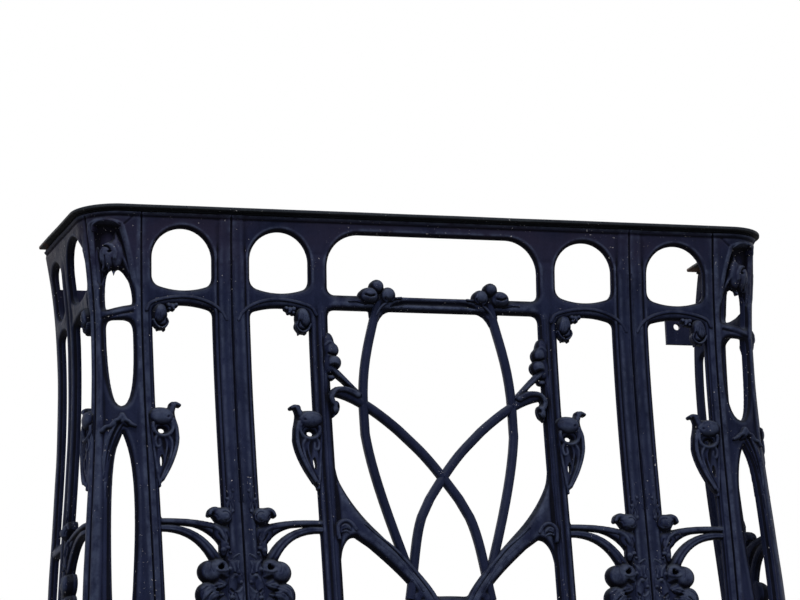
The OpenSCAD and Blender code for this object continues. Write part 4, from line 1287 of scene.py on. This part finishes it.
def ornaments():
    for side, word in SIDES:
        def put(name, nodes, *where, **sizes):
            add(ornament(f"{word}_{name}", side, *where, **sizes), [f"{word}_{n}" for n in nodes])

        for bay, post, _, _, way in BAYS:
            put(f"{bay}_seed_pod", [f"{bay}_pod"], post, -way, (-18, 50), (POD_Z - 116, POD_Z + 50), pod)
        for bay, post, _, _, way in BAYS:
            put(f"{bay}_rolled_bud", [f"{bay}_bud"], post, -way, (-4, 53), (BAND_LOW - 54, BAND_LOW + 8),
                bud, step=FINEST)
        for bay, _, flank, w, way in BAYS:
            put(f"{bay}_fruit_branch", [f"{bay}_branch"], flank, way, (-15, w + 2),
                (FRUIT_Z - 64, ARM_Z + 50), fruit_branch(w))
        put("crossband_berries", ["band_berries"], 0, 1, (62, 168), (BAND_HIGH - 62, BAND_HIGH + 34),
            band_berries, step=FINEST)
        put("jamb_ornament", ["jamb_relief"], 0, 1, (150, 232), (FOOT_Z, BAND_LOW + 6), jamb_ornament)
        put("pilaster_leafage", ["pilaster_leaves", "pilaster_ribs"], PILASTER_X, 1,
            (-PILASTER_HALF, PILASTER_HALF), (FOOT_Z, 912), pilaster_leaves, back=THIN)
        rolls = [ornament(f"{bay}_roll", side, flank, way, (-31, w + past), (BAND_LOW - 30, BAND_HIGH - 4),
                          crossband_roll(w), back=THIN)
                 for (bay, _, flank, w, way), past in zip(BAYS, (19, 16))]
        add(merge(f"{word}_crossband_rolls", rolls), [f"{word}_crossband_beads"])
        put("corner_bud", ["corner_drop"], 0, 1, (570, 640), (BAND_HIGH - 4, 978), corner_bud, step=FINEST,
            back=-15)
        put("corner_gable", ["corner_ribs"], 0, 1, (CORNER_SEAM + 2, 632), (146, 622), corner_points,
            back=THIN)
        face = TURN_END - CORNER_R
        put("return_ornament", ["return_relief"], face, 1, (CORNER_END + 2 - face, CORNER_R + 128),
            (FRUIT_Z - 64, BAND_LOW + 8), return_ornament, step=1.8)
    add(ornament("brace_rolls", 1, 0, 1, (10 - MIDDLE_HALF, MIDDLE_HALF - 10), (FOOT_Z + 4, 500), brace_rolls,
                 step=1.8, back=-6), ["brace_ridges"])


def rails():
    out = FLARE_OUT + 12
    add(rail("flat_handrail", rounded_box(out - RAIL_W, out, RAIL_Z + 1.2, HEIGHT, 2.2), 0.35), ["handrail"],
        rail_paint)
    fillet, bumps = moulding_section()
    add(rail("rail_cornice", fillet, 0.0, bumps), ["rail_moulding"], rail_paint)


castings()
ornaments()
add(tracery(), ["middle_tracery"])
rails()

for name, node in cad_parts.items():
    flat_bar = name in ("handrail", "rail_moulding", "base_bar")
    node.data.materials.clear()
    node.data.materials.append(rail_paint if flat_bar else iron_paint)


# ---------- Stage, light and camera ----------

def studio_world():
    """Soft even light, with plain white behind the object for the camera and for reflections."""
    world = bpy.data.worlds.new("studio")
    bpy.context.scene.world = world
    n = Nodes(world)
    path = n.add("ShaderNodeLightPath").outputs
    seen = n.most(path["Is Camera Ray"], path["Is Glossy Ray"])
    seen = n.most(seen, path["Is Transmission Ray"])
    glow = n.add("ShaderNodeBackground", {"Color": (0.90, 0.95, 1, 1), "Strength": 0.22}).outputs[0]
    white = n.add("ShaderNodeBackground", {"Color": (1, 1, 1, 1), "Strength": 1}).outputs[0]
    mixed = n.add("ShaderNodeMixShader", {"Fac": seen, 1: glow, 2: white}).outputs[0]
    n.add("ShaderNodeOutputWorld", {"Surface": mixed})


def lamp(name, at, aim, size, power):
    data = bpy.data.lights.new(name, "AREA")
    data.shape = "RECTANGLE"
    data.size, data.size_y = size
    data.energy = power
    obj = bpy.data.objects.new(name, data)
    obj.location = at
    obj.rotation_euler = (Vector(aim) - Vector(at)).to_track_quat("-Z", "Y").to_euler()
    bpy.context.scene.collection.objects.link(obj)


def floor():
    """A pale sheet with rounded corners, level with the foot of the castings' bar."""
    half_x, half_y, middle_y, roundness = 1.65, 1.18, 0.02, 0.45
    t = np.linspace(0, 2 * np.pi, 64, endpoint=False)
    x, y = (np.sign(f) * np.abs(f) ** roundness for f in (np.cos(t), np.sin(t)))
    corners = np.stack([half_x * x, middle_y + half_y * y, 0 * t], axis=1)
    mesh = bpy.data.meshes.new("floor")
    mesh.from_pydata(corners.tolist(), [], [list(range(len(t)))])
    piece = bpy.data.objects.new("floor", mesh)
    bpy.context.scene.collection.objects.link(piece)
    mat = bpy.data.materials.new("floor_look")
    mat.use_nodes = True
    shader = mat.node_tree.nodes["Principled BSDF"]
    shader.inputs["Base Color"].default_value = (0.86, 0.86, 0.86, 1)
    shader.inputs["Roughness"].default_value = 0.8
    mesh.materials.append(mat)


def camera():
    """Seen from far off, from below and from the left, as in the photograph."""
    yaw, pitch, roll = math.radians(18.05), math.radians(13.35), math.radians(-2.48)
    ahead = Vector((math.sin(yaw) * math.cos(pitch), math.cos(yaw) * math.cos(pitch), math.sin(pitch)))
    data = bpy.data.cameras.new("camera")
    data.sensor_width = 36
    data.lens = 193.6
    obj = bpy.data.objects.new("camera", data)
    turn = ahead.to_track_quat("-Z", "Y").to_matrix().to_4x4()
    stand = Matrix.Translation((-2.447, -7.487, -0.981))
    obj.matrix_world = stand @ turn @ Matrix.Rotation(roll, 4, "Z")
    bpy.context.scene.collection.objects.link(obj)
    bpy.context.scene.camera = obj


studio_world()
lamp("sky_panel", (-0.9, -1.9, 3.6), (0, -0.1, 0.6), (2.2, 1.4), 140)
lamp("left_panel", (-2.6, -3.4, 2.0), (0, -0.1, 0.6), (1.0, 2.0), 32)
lamp("right_panel", (2.9, -2.4, 1.6), (0, -0.1, 0.6), (0.8, 2.0), 24)
lamp("back_panel", (0.8, 3.4, 2.6), (0, 0, 0.6), (2.0, 1.2), 60)
floor()
camera()
bpy.context.scene.view_settings.view_transform = "Standard"
